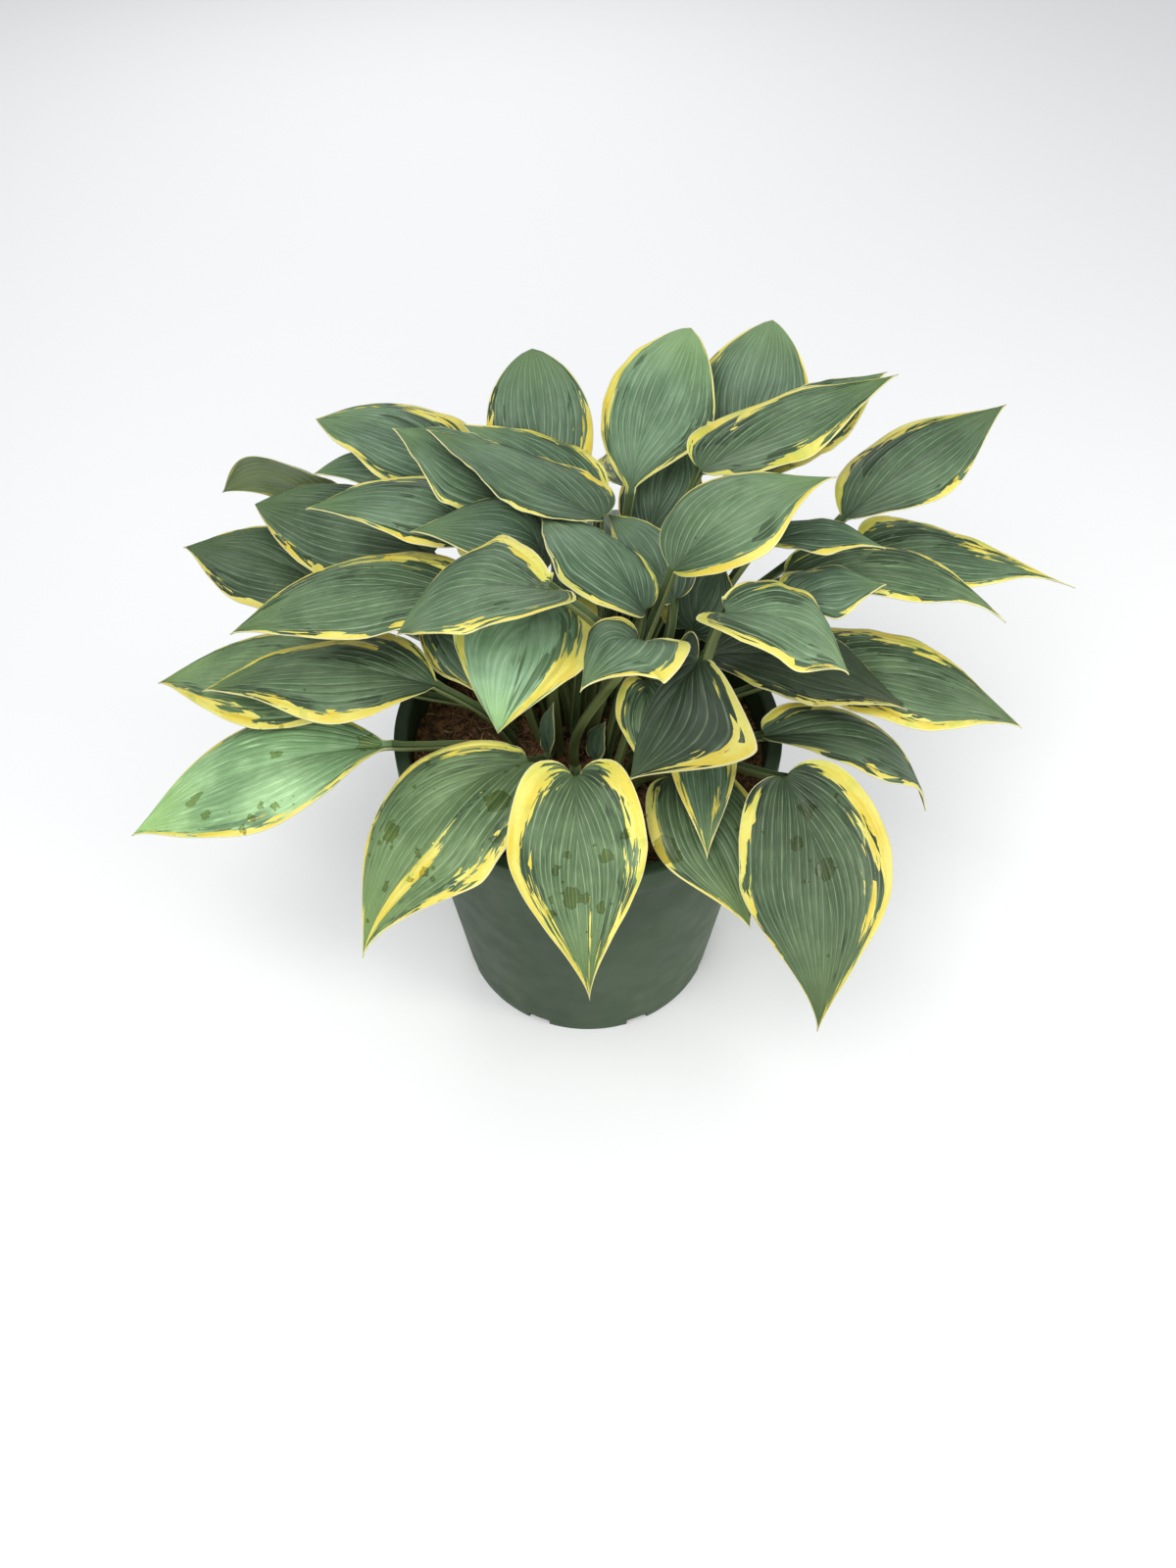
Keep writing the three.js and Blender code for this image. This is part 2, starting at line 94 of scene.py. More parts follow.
def make_panel(name, place, aim, size, power, colour):
    """A square light panel at place, facing aim."""
    data = bpy.data.lights.new(name, "AREA")
    data.shape = "SQUARE"
    data.size = size
    data.energy = power
    data.color = colour
    lamp = bpy.data.objects.new(name, data)
    lamp.location = place
    away = np.subtract(place, aim)
    flat = math.hypot(away[0], away[1])
    lamp.rotation_euler = (math.atan2(flat, away[2]), 0, math.atan2(away[0], -away[1]))
    bpy.context.scene.collection.objects.link(lamp)


def make_sky():
    """A pale world all round."""
    world = bpy.data.worlds.new("overcast")
    world.use_nodes = True
    background = world.node_tree.nodes["Background"]
    background.inputs["Color"].default_value = SKY_COLOUR
    background.inputs["Strength"].default_value = SKY_STRENGTH
    bpy.context.scene.world = world


make_camera()
for panel, values in PANELS.items():
    make_panel(panel, *values)
make_sky()
bpy.context.scene.view_settings.view_transform = "Standard"
print("camera, sky and", len(PANELS), "light panels are in place")

# %% [markdown]
# ## Meshes from whole arrays
#
# Every surface below is worked out as an array of points and handed to Blender in
# one go. That is much faster than adding faces one by one, and it keeps the shape
# readable as a formula. Values that a material needs at each point, such as how
# far it is from the leaf's edge, ride along as attributes of the mesh.

# %% Mesh helpers
def make_piece(name, points, faces, attributes=None, smooth=True):
    """A mesh object from an (n, 3) array in metres and a list of face arrays.

    Each face array is (m, 3) or (m, 4) of point numbers. attributes maps a name to
    one number, or a row of three, for each point.
    """
    mesh = bpy.data.meshes.new(name)
    corners = np.concatenate([f.ravel() for f in faces]).astype(np.int32)
    sizes = np.concatenate([np.full(len(f), f.shape[1]) for f in faces])
    starts = np.concatenate([[0], np.cumsum(sizes)[:-1]]).astype(np.int32)
    mesh.vertices.add(len(points))
    mesh.vertices.foreach_set("co", np.asarray(points, np.float32).ravel())
    mesh.loops.add(len(corners))
    mesh.loops.foreach_set("vertex_index", corners)
    mesh.polygons.add(len(sizes))
    mesh.polygons.foreach_set("loop_start", starts)
    mesh.update(calc_edges=True)
    mesh.polygons.foreach_set("use_smooth", np.full(len(sizes), smooth))
    for key, values in (attributes or {}).items():
        values = np.asarray(values, np.float32)
        vector = values.ndim == 2
        layer = mesh.attributes.new(key, "FLOAT_VECTOR" if vector else "FLOAT", "POINT")
        layer.data.foreach_set("vector" if vector else "value", values.ravel())
    mesh.validate()
    piece = bpy.data.objects.new(name, mesh)
    bpy.context.scene.collection.objects.link(piece)
    return piece


def grid_faces(rows, columns):
    """Four-sided faces of a grid of points stored row by row.

    Point (i, j) is joined to (i, j + 1), (i + 1, j + 1) and (i + 1, j), and the last
    column joins the first.
    """
    j = np.arange(columns)
    i = np.arange(rows - 1)[:, None] * columns
    a, b = i + j, i + (j + 1) % columns
    return np.stack([a, b, b + columns, a + columns], -1).reshape(-1, 4)


def unit(vectors):
    """Each row at length one."""
    return vectors / np.linalg.norm(vectors, axis=-1, keepdims=True)


def dress(piece, material, slot, *nodes):
    """Gives a finished piece its material and body, and hides the model's parts it stands for. slot
    is not used.
    """
    piece.data.materials.append(material)
    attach(piece, "root")
    if nodes:
        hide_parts(*nodes)
    return piece


# %% [markdown]
# ## Helpers for materials
#
# A procedural material is a small sum worked out at each point of the surface.
# Written as function calls it reads like that sum, so these helpers make one node
# each and hand back its output.

# %% Material helpers
class Recipe:
    """A material under construction: each method adds a node and returns an output."""

    def __init__(self, name):
        self.material = bpy.data.materials.new(name)
        self.material.use_nodes = True
        self.tree = self.material.node_tree
        self.tree.nodes.clear()
        self.shader = self.add("ShaderNodeBsdfPrincipled")
        output = self.add("ShaderNodeOutputMaterial")
        self.tree.links.new(self.shader.outputs[0], output.inputs["Surface"])

    def add(self, kind, **settings):
        node = self.tree.nodes.new(kind)
        for key, value in settings.items():
            setattr(node, key, value)
        return node

    def feed(self, socket, value):
        """Links an output into a socket, or sets a plain value on it."""
        if isinstance(value, bpy.types.NodeSocket):
            self.tree.links.new(value, socket)
        elif isinstance(value, tuple) and len(value) == 3 and socket.type == "RGBA":
            socket.default_value = (*value, 1)
        else:
            socket.default_value = value

    def chain(self, kind, values, **settings):
        """A node whose first inputs take the values in turn."""
        node = self.add(kind, **settings)
        for socket, value in zip(node.inputs, values):
            self.feed(socket, value)
        return node.outputs[0]

    def math(self, operation, *values):
        return self.chain("ShaderNodeMath", values, operation=operation)

    def times(self, a, b):
        return self.math("MULTIPLY", a, b)

    def vector(self, operation, *values):
        return self.chain("ShaderNodeVectorMath", values, operation=operation)

    def attribute(self, name, vector=False):
        """A value that the mesh keeps at each point."""
        node = self.add("ShaderNodeAttribute", attribute_name=name)
        return node.outputs["Vector" if vector else "Fac"]

    def place(self):
        """The point's place on the piece, in metres."""
        return self.add("ShaderNodeTexCoord").outputs["Object"]

    def ramp(self, value, low, high, start=0.0, end=1.0):
        """A smooth step: start below low, end above high."""
        values = (value, low, high, start, end)
        return self.chain("ShaderNodeMapRange", values, interpolation_type="SMOOTHSTEP")

    def noise(self, where, scale, detail, rough=0.5):
        """Soft cloudy noise, with scale waves to a unit of where."""
        node = self.add("ShaderNodeTexNoise")
        self.feed(node.inputs["Vector"], where)
        node.inputs["Scale"].default_value = scale
        node.inputs["Detail"].default_value = detail
        node.inputs["Roughness"].default_value = rough
        return node.outputs["Fac"]

    def cells(self, where, scale):
        """Cell noise: (distance to the cell's middle, a random colour for the cell)."""
        node = self.add("ShaderNodeTexVoronoi")
        self.feed(node.inputs["Vector"], where)
        node.inputs["Scale"].default_value = scale
        return node.outputs["Distance"], node.outputs["Color"]

    def first(self, colour):
        """The first of a colour's three numbers."""
        return self.chain("ShaderNodeSeparateColor", [colour])

    def off_line(self, number, lines):
        """How far a point is from the nearest of so many lines to a rib, 0 to 0.5."""
        place = self.math("MULTIPLY_ADD", number, float(lines), 0.5)
        return self.math("ABSOLUTE", self.math("SUBTRACT", self.math("FRACT", place), 0.5))

    def grey(self, value):
        """A colour with the same value in all three parts."""
        return self.chain("ShaderNodeCombineXYZ", [value] * 3)

    def mix(self, factor, a, b, blend="MIX"):
        """The colour a, with as much of b over it as factor says."""
        node = self.add("ShaderNodeMix", data_type="RGBA", blend_type=blend)
        self.feed(node.inputs["Factor"], factor)
        self.feed(node.inputs[6], a)
        self.feed(node.inputs[7], b)
        return node.outputs[2]

    def tint(self, colour, by):
        """A colour times another."""
        return self.mix(1.0, colour, by, "MULTIPLY")

    def bump(self, height, depth, strength, onto=None):
        """A bump of depth metres for a height of one."""
        node = self.add("ShaderNodeBump")
        node.inputs["Strength"].default_value = strength
        node.inputs["Distance"].default_value = depth
        self.feed(node.inputs["Height"], height)
        if onto is not None:
            self.feed(node.inputs["Normal"], onto)
        return node.outputs[0]

    def finish(self, colour, roughness, normal=None, **plain):
        """Wires up the shader and returns the material."""
        self.feed(self.shader.inputs["Base Color"], colour)
        self.feed(self.shader.inputs["Roughness"], roughness)
        if normal is not None:
            self.feed(self.shader.inputs["Normal"], normal)
        for key, value in plain.items():
            self.shader.inputs[key.replace("_", " ")].default_value = value
        return self.material


# %% [markdown]
# ## The floor
#
# A plain pale sheet, large enough to fill the view. It is stage, not plant.

# %% Floor
FLOOR_HALF = 4.0
FLOOR_PALE = (0.93, 0.93, 0.92)


def make_floor():
    """One square face at height 0."""
    corners = FLOOR_HALF * np.array([[-1, -1, 0], [1, -1, 0], [1, 1, 0], [-1, 1, 0]])
    floor = make_piece("floor", corners, [np.array([[0, 1, 2, 3]])], smooth=False)
    floor.data.materials.append(Recipe("pale_floor").finish(FLOOR_PALE, 0.8))
    return floor


make_floor()
print("floor laid")

# %% [markdown]
# ## The curves of a leaf
#
# A petiole leaves the compost upwards and outwards and arrives at the blade's neck
# roughly in line with the midrib, so a cubic Bezier curve from root to neck gives
# it the right spring. The midrib arches over from neck to tip, and a quadratic
# curve has just that one bend. The blade is then spread out sideways from the
# midrib: a rounded outline from neck to tip, two halves that rise from the midrib
# and turn down again, lobes that reach back beside the neck, and a ripple.

# %% The leaf's proportions
ROOT_BOTTOM = 200.0
ROOT_TOP = 212.0
PETIOLE_WIDTH = 5.5
PETIOLE_HALF = PETIOLE_WIDTH * 0.62
PETIOLE_FOLD = 30.0
WAVE_COUNT = 1.5
LOBE_REACH = 0.33
BLADE_THICKNESS = 0.8
RIB_SPACING = 5.0
RIB_DEPTH = 0.32
PUCKER = 0.45  # height of the loose puckering between the ribs
GROOVE_DEPTH = 0.9  # of the groove along the midrib
GROOVE_REACH = 1.5
QUICK_RIPPLE = 0.9  # height of the small ripple at the edge
RIPPLE_WIDTH = 70.0  # a leaf narrower than this ripples less
FLOW_START = 200.0  # keeps places across the ribs above zero
FLOW_APART = 37.0  # how far apart two leaves lie in the streaks' noise
FAN = 0.42  # how far up the midrib the innermost ribs begin
SWEEP = 0.4  # how gently the ribs leave the midrib
PETIOLE_RINGS = 14
RINGS_TO_WIDEST = 18
RINGS_TO_TIP = 30
NOISE_WAVES = 7
UP = np.array([0.0, 0.0, 1.0])

# The usual leaf. bow, crest and sway say how high the midrib arches, where along it
# and how far to one side. roll turns the blade about the midrib, fold lifts its two
# halves, in degrees, and curl turns them down again. heart draws the lobes back, cup
# lifts them and ear makes the right one larger. base, widest and taper shape the
# outline, lop makes the right half broader and wave ripples the edge. lean is how far
# outwards the petiole sets off, follow how nearly it arrives in line with the midrib.
LEAF = dict(
    width=80, bow=16, crest=0.45, sway=0, roll=0, fold=25, curl=0.35, heart=0.3, cup=0,
    ear=0, base=0.5, widest=0.36, taper=1.25, lop=0, wave=3, lean=0.35, follow=0.5,
    cream=(5, 5), wet=0.2, painted_lighting=1.0, streaks=(), drops=(),
)


def bezier(controls, t):
    """Points and directions along a Bezier curve at each t.

    Neighbouring control points are mixed in the proportion t again and again until
    two are left; the point is the mix of those two, the direction their difference.
    """
    t = t[:, None]
    layer = [np.tile(np.asarray(c, float), (len(t), 1)) for c in controls]
    while len(layer) > 2:
        layer = [a + (b - a) * t for a, b in zip(layer, layer[1:])]
    return layer[0] + (layer[1] - layer[0]) * t, unit(layer[1] - layer[0])


def leaf_curves(leaf):
    """The control points of petiole and midrib, and the leaf's sideways direction."""
    root = np.array([*leaf["root"], ROOT_TOP])
    neck, tip = np.array(leaf["neck"], float), np.array(leaf["tip"], float)
    chord = tip - neck
    along = unit(chord)
    side = unit(np.cross(along, UP))
    above = np.cross(side, along)
    peak = neck + chord * leaf["crest"] + above * 2 * leaf["bow"] + side * 2 * leaf["sway"]

    reach = np.linalg.norm(neck - root)
    outward = np.array([root[0], root[1], 0.0])
    outward /= max(np.linalg.norm(outward), 1e-9)
    grow = unit(UP + outward * leaf["lean"])
    straight, smooth = unit(neck - root), unit(peak - neck)
    arrive = unit(straight + (smooth - straight) * leaf["follow"])
    petiole = [root, root + grow * reach * 0.4, neck - arrive * reach * 0.35, neck]
    return petiole, [neck, peak, tip], side


def outline(u, widest, taper, base):
    """Half width at u as a part of the greatest. Up to the widest place it is one
    less the square of what is left of the way there, raised to the power base (0.5
    is a quarter ellipse). Then it is a quarter cosine wave to the power taper."""
    rise = np.clip(1 - ((widest - u) / widest) ** 2, 0, 1) ** base
    fall = np.cos(np.pi / 2 * np.clip((u - widest) / (1 - widest), 0, 1)) ** taper
    return np.where(u < widest, rise, fall)


def frames(tangents, side, roll):
    """Sideways and upward directions: side made square to each tangent, turned by
    roll degrees about it, and the cross product of the two."""
    s = unit(side - tangents * (tangents @ side)[:, None])
    angle = np.radians(roll)[:, None]
    s = s * np.cos(angle) + np.cross(tangents, s) * np.sin(angle)
    return s, np.cross(s, tangents)


def soft_noise(p, wavelength, rng):
    """Smooth noise of about one unit: a sum of sine waves that run in random
    directions through the points p, each with a random phase."""
    k = rng.normal(size=(p.shape[-1], NOISE_WAVES)) * 2 * np.pi / wavelength
    phase = rng.uniform(0, 2 * np.pi, NOISE_WAVES)
    return np.sin(p @ k + phase).sum(-1) / math.sqrt(NOISE_WAVES)

# %% [markdown]
# ## One leaf as a closed surface
#
# Rings of points follow the petiole and go on along the blade. A ring runs over
# the upper face from one edge to the other and back underneath, so petiole and
# blade are one skin with a real thickness, as a leaf is. The rings are closest at
# the neck, where the outline turns fastest. Besides the large form, the surface
# carries the ribs as shallow grooves, a groove for the midrib, a loose puckering
# between the ribs and a small quick ripple at the edge.
#
# Each point also keeps what the colours need: how far it is from the edge, where
# it lies between the ribs, and how wide the cream margin is there.

# %% Leaf surface
def rib_place(u, v):
    """Which rib a point lies on, from 0 at the midrib to 1 at the edge. Towards the
    neck the ribs fan out from the midrib: |v| is squeezed into what is left above
    FAN times (1 - u) cubed, and raised to a power below one, so that each rib runs
    beside the midrib at first and then bends away."""
    c = FAN * np.clip(1 - u, 0, 1) ** 3
    return c + (1 - c) * np.abs(v) ** (1 - SWEEP * np.clip(1 - u, 0, 1) ** 2)


def petiole_rings(leaf, curve, side, v):
    """Upper and lower points of the petiole's rings, and its half width: a channel
    whose sides rise by PETIOLE_FOLD, with a keel under it that thins upwards."""
    t = np.linspace(0, 1, PETIOLE_RINGS, endpoint=False)
    centre, tangent = bezier(curve, t)
    s, n = frames(tangent, side, leaf["roll"] * t)
    foot = unit(side * [1, 1, 0])
    centre = np.vstack([curve[0] * [1, 1, 0] + [0, 0, ROOT_BOTTOM], curve[0], centre[1:]])
    s = np.vstack([foot, foot, s[1:]])
    n = np.vstack([np.cross(foot, UP)] * 2 + [n[1:]])
    t = np.r_[0, t][:, None]
    fold = math.radians(PETIOLE_FOLD)
    x = PETIOLE_HALF * v * math.cos(fold) + 0 * t
    z = PETIOLE_HALF * (np.sqrt(v**2 + 0.02) - 0.14) * math.sin(fold) + 0 * t
    thick = 0.5 - 0.3 * np.abs(v) ** 6
    keel = PETIOLE_WIDTH * 0.75 * (1 - 0.2 * t) * np.clip(1 - v**2, 0, 1) ** 0.8
    base = centre[:, None] + x[..., None] * s[:, None]
    top = base + (z + thick)[..., None] * n[:, None]
    low = base + (z - thick - keel)[..., None] * n[:, None]
    return top, low, PETIOLE_HALF + 0 * z


def blade_rings(leaf, curve, side, u, v, ribs, rng):
    """Upper and lower points of the blade's rings, and its width from the midrib to
    each point's edge: the midrib curve plus x sideways, back against the tangent
    and z along the normal. x is the width times w; z is a fold that rises with |w|,
    less a curl, plus a ripple and the cup of the lobes, all three with v squared."""
    centre, tangent = bezier(curve, u)
    s, n = frames(tangent, side, leaf["roll"] + 0 * u)
    u = u[:, None]
    part = outline(u, leaf["widest"], leaf["taper"], leaf["base"])
    flare = PETIOLE_HALF * np.clip(1 - 1.6 * u, 0, 1) + 0.5 * (1 - u) + 0.12
    half = np.maximum(leaf["width"] / 2 * part, flare)
    fold = np.radians(leaf["fold"] * (1 - 0.55 * u) + (PETIOLE_FOLD - leaf["fold"])
                      * np.clip(1 - u / 0.03, 0, 1))
    curl = leaf["curl"] * np.clip(u / 0.2, 0, 1)
    lop = leaf["lop"]
    w = v * (1 + lop * v)
    near = np.clip(1 - u / LOBE_REACH, 0, 1) ** 1.5
    ear = leaf["ear"] * np.sign(v)
    lobe = leaf["width"] / 2 * near * part * (1 + ear)
    half = half * (1 + ear * near * np.minimum(1, u / 0.04))
    ripple = np.sin(2 * np.pi * WAVE_COUNT * u + np.where(v > 0, 0, 1.3))
    x = half * w * np.cos(fold)
    z = half * (np.abs(w) * np.sin(fold) - curl * v**2 * (1 + lop * v))
    z = z + (leaf["wave"] * part * ripple + leaf["cup"] * lobe) * v**2

    # the small relief
    lines = rib_place(u, v) * ribs
    inner = np.clip((1 - np.abs(v)) * 7, 0, 1) * np.clip(np.abs(v) * 8, 0, 1)
    inner = inner * np.clip(u * 9, 0, 1) * np.clip((1 - u) * 5, 0, 1)
    z = z - RIB_DEPTH * np.cos(2 * np.pi * lines) * inner
    flow = np.stack(np.broadcast_arrays(lines * np.sign(v) * 2.2, u * 5, 0 * u), -1)
    z = z + PUCKER * soft_noise(flow, 2.4, rng) * np.abs(v) * inner
    quick = soft_noise(np.stack(np.broadcast_arrays(u * 7, np.sign(v) * 3), -1), 2.2, rng)
    quick = QUICK_RIPPLE * quick * min(1, leaf["width"] / RIPPLE_WIDTH)
    z = z + quick * np.abs(v) ** 5 * np.clip(part * 1.4, 0, 1) * np.clip(u * 6, 0, 1)
    groove = np.exp(-((v * half / GROOVE_REACH) ** 2)) * np.clip(u * 12, 0, 1) * (1 - u)

    back = leaf["heart"] * lobe * np.abs(v) ** 1.3
    thick = BLADE_THICKNESS / 2 * (1 - 0.5 * v**8)
    sharp = 0.8 + 2.2 * np.clip(u / 0.15, 0, 1)
    keel = PETIOLE_WIDTH * 0.6 * (1 - u) ** 2 * np.clip(1 - v**2, 0, 1) ** sharp
    base = centre[:, None] + x[..., None] * s[:, None] - back[..., None] * tangent[:, None]
    top = base + (z + thick - GROOVE_DEPTH * groove)[..., None] * n[:, None]
    low = base + (z - thick - keel)[..., None] * n[:, None]
    return top, low, half


def stations(ribs):
    """Places across a ring: eight steps to a rib, and one more close to each edge
    so that the rounding there stays narrow."""
    v = np.linspace(-1, 1, 8 * ribs + 1)
    return np.concatenate([[-1, -0.985], v[1:-1], [0.985, 1]])


def blade_stations(widest):
    """Places along the midrib: equal turns of the ellipse up to the widest place,
    then equal steps to the tip."""
    turns = np.linspace(0, np.pi / 2, RINGS_TO_WIDEST, endpoint=False)
    return np.concatenate([widest * (1 - np.cos(turns)), np.linspace(widest, 1, RINGS_TO_TIP)])


def cream_width(leaf, u, v, rng):
    """Width of the cream margin, in millimetres: the leaf's own value for that side,
    made uneven along the edge, and narrow at the tip and beside the neck."""
    left, right = leaf["cream"]
    own = np.where(v > 0, right, left)
    place = np.stack(np.broadcast_arrays(u * 4, np.sign(v) * 5.0), -1)
    uneven = 1 + 0.28 * soft_noise(place, 3.1, rng)
    ends = 0.1 + 0.9 * np.clip((1 - u) * 1.9, 0, 1) ** 1.4
    return own * uneven * ends * np.clip(0.12 + u * 2.25 / leaf["base"] ** 2, 0, 1)


def wet_reach(drops, x, y):
    """How far a point lies inside the nearest wet patch, in millimetres, less than
    zero outside: the greatest of radius less distance, over all the drops."""
    reach = np.full(np.broadcast(x, y).shape, -9.0)
    for across, up, radius in drops:
        reach = np.maximum(reach, radius - np.hypot(x - across, y - up))
    return reach


def make_leaf(node, leaf, material, seed):
    """The closed skin of one leaf, in metres, with what its colours need."""
    rng = np.random.default_rng(seed)
    petiole, midrib, side = leaf_curves(leaf)
    ribs = max(3, round(leaf["width"] / 2 / RIB_SPACING))
    v = stations(ribs)[None, :]
    u = blade_stations(leaf["widest"])
    p_top, p_low, p_half = petiole_rings(leaf, petiole, side, v)
    b_top, b_low, b_half = blade_rings(leaf, midrib, side, u, v, ribs, rng)

    top, low = np.vstack([p_top, b_top]), np.vstack([p_low, b_low])
    rings = np.concatenate([top, low[:, ::-1]], 1)
    rows, ring = rings.shape[:2]
    last = v.shape[1] - 1
    j = np.arange(last)
    cap = np.stack([j, ring - 1 - j, ring - 2 - j, j + 1], -1)
    faces = [grid_faces(rows, ring), cap, cap[:, ::-1] + (rows - 1) * ring]

    length = np.linalg.norm(np.subtract(leaf["tip"], leaf["neck"]))
    on_blade = np.r_[np.full(len(p_half), -1.0), u][:, None]
    half = np.vstack([p_half, b_half])
    uu = np.clip(on_blade, 0, 1)
    inset = (1 - np.abs(v)) * half
    band = cream_width(leaf, uu, v, rng)
    band = np.where(on_blade < 0, 0.35, band) + 0 * v
    for line, breadth, start, end in leaf["streaks"]:
        off = np.abs(np.sign(v) * rib_place(uu, v) - line) * leaf["width"] / 2
        grow = breadth * np.clip((uu - start) / 0.5, 0, 1) * (uu < end)
        band = np.maximum(band, np.where(off < grow, inset + grow - off, 0))
    drops = [(line * np.interp(up, u, b_half[:, 0]), up * length, radius)
             for line, up, radius in leaf["drops"]]
    damp = wet_reach(drops, v * half, on_blade * length)
    lines = rib_place(uu, v) * ribs
    # millimetres across the ribs and along them, with a third number of the leaf's
    # own, so that no two leaves have the same streaks
    flow = np.stack(np.broadcast_arrays(
        np.sign(v) * rib_place(uu, v) * leaf["width"] / 2 + FLOW_START,
        on_blade * length, np.full_like(inset, seed * FLOW_APART)), -1)

    def both(values):
        """The same value on the upper face and under it."""
        values = values + 0 * inset
        return np.concatenate([values, values[:, ::-1]], 1).ravel()

    upper = np.concatenate([np.ones_like(inset), np.zeros_like(inset)], 1)
    extras = dict(
        inset=both(inset), band=both(band), rib=both(lines), along=both(on_blade),
        upper=upper.ravel(), wet=np.full(rows * ring, leaf["wet"]), damp=both(damp),
        # the leaf's painted light and shade: above one lighter, below one darker
        painted_lighting=np.full(rows * ring, leaf["painted_lighting"]),
        flow=np.concatenate([flow, flow[:, ::-1]], 1).reshape(-1, 3),
    )
    piece = make_piece("fine_" + node, rings.reshape(-1, 3) * MM, faces, extras)
    return dress(piece, material, "leaf", node)

# %% [markdown]
# ## The colours of a leaf
#
# The middle is a dull blue-green with a waxy bloom. Paler ribs run through it, with
# fainter veins halfway between them. The margin is cream-yellow, and where it meets
# the green the two run past each other along the ribs in long pointed streaks, with
# patches of darker green between. Cell noise stretched along the ribs gives those
# streaks: each long cell pushes the boundary in or out by an amount of its own. A
# hairline of cream follows the very edge, partly the margin's own colour and partly
# a painted highlight. Rain has washed the blue off the wettest leaves and left dark
# patches on some, which are smoother and hide the bloom. The underside is paler,
# duller and more olive. Painted shade darkens the green between the ribs and
# towards the neck, and each leaf carries painted light and shade of its own.

# %% Leaf material
# three sizes of streak: how many cells there are to a millimetre across the ribs,
# along them and from leaf to leaf, and how far they push the end of the margin
LANES = [((0.2, 0.035, 1.0), 1.3), ((0.45, 0.055, 1.0), 1.1), ((1.1, 0.12, 1.0), 0.45)]
DARK_LANES = (0.26, 0.04, 1.0)
DARK_SHIFT = (17.3, 4.1, 2.0)  # keeps the dark lanes' cells off the streaks' cells
GREEN_DEEP = (0.066, 0.12, 0.056)
GREEN_BLOOM = (0.15, 0.235, 0.124)
GREEN_LIGHT = (0.2, 0.29, 0.165)
GREEN_TIP = (0.18, 0.285, 0.085)
GREEN_DARK = (0.032, 0.062, 0.026)
RIB_PALE = (0.33, 0.43, 0.27)
CREAM_WARM = (0.74, 0.58, 0.07)
CREAM_COOL = (0.76, 0.7, 0.17)
CREAM_LIME = (0.4, 0.5, 0.08)
# the hairline at the very edge: partly the margin's own colour, partly a painted highlight
CREAM_EDGE_AND_HIGHLIGHT = (0.76, 0.72, 0.4)
CREAM_VEIN = (0.55, 0.5, 0.09)
FLECK_BROWN = (0.36, 0.26, 0.07)
PETIOLE_DARK = (0.05, 0.085, 0.024)
PETIOLE_LIGHT = (0.1, 0.145, 0.05)
# the petiole's pale hairline: partly its own colour, partly a painted highlight
PETIOLE_EDGE_AND_HIGHLIGHT = (0.36, 0.38, 0.18)
UNDERSIDE = (0.135, 0.165, 0.052)
WET_RIM = (0.03, 0.045, 0.015)
# these multiply the colour under them
BLOOM_TINT = (0.97, 1.0, 1.12)
WASHED_TINT = (1.03, 1.0, 0.74)
GRAIN_TINT = (0.8, 0.82, 0.78)
SOAKED_TINT = (0.6, 0.6, 0.34)


def rib_noise(r, flow, across, along, detail):
    """Noise drawn out along the ribs: so many waves to a millimetre each way."""
    return r.noise(r.vector("MULTIPLY", flow, (across, along, 1.0)), 1.0, detail)


def streaky_margin(r, flow, depth, push):
    """Where the margin is cream and where dark green lies along it.

    depth is 0 at the leaf's edge and 1 where the margin would end if it were
    smooth. Long cells along the ribs, of three sizes, push that end in or out, less
    for their size on a broad margin: push is the factor.
    """
    total = 0.0
    for cells, strength in LANES:
        lane = r.first(r.cells(r.vector("MULTIPLY", flow, cells), 1.0)[1])
        total = r.math("MULTIPLY_ADD", r.math("SUBTRACT", lane, 0.5), strength, total)
    pushed = r.math("MULTIPLY_ADD", total, push, depth)
    cream = r.ramp(pushed, 0.97, 1.03, 1.0, 0.0)
    shifted = r.vector("ADD", r.vector("MULTIPLY", flow, DARK_LANES), DARK_SHIFT)
    pick = r.first(r.cells(shifted, 1.0)[1])
    zone = r.math("MULTIPLY_ADD", r.math("SUBTRACT", pick, 0.6), 3.0, pushed)
    dark = r.ramp(zone, 1.5, 1.7, 1.0, 0.0)
    patchy = r.ramp(r.noise(flow, 0.025, 1), 0.36, 0.52)
    return cream, r.times(dark, patchy)


def wet_patches(r, here, wet, damp, upper):
    """Where rain lies on the upper face, and the darker rim of each patch."""
    ragged = r.math("SUBTRACT", r.noise(here, 210, 3, 0.55), 0.5)
    soaked = r.math("MULTIPLY_ADD", ragged, 9.0, damp)
    pick, rest = r.cells(here, 150), r.times(wet, 0.3)
    size = r.math("SUBTRACT", r.first(pick[1]), r.math("SUBTRACT", 1.0, rest))
    small = r.math("SUBTRACT", r.times(size, 1.2), pick[0])
    patch = r.math("MAXIMUM", r.ramp(soaked, 0.0, 0.35), r.ramp(small, 0.0, 0.05))
    rim = r.times(r.ramp(soaked, 0.0, 0.25), r.ramp(soaked, 0.4, 1.1, 1.0, 0.0))
    return r.times(patch, upper), r.times(rim, upper)


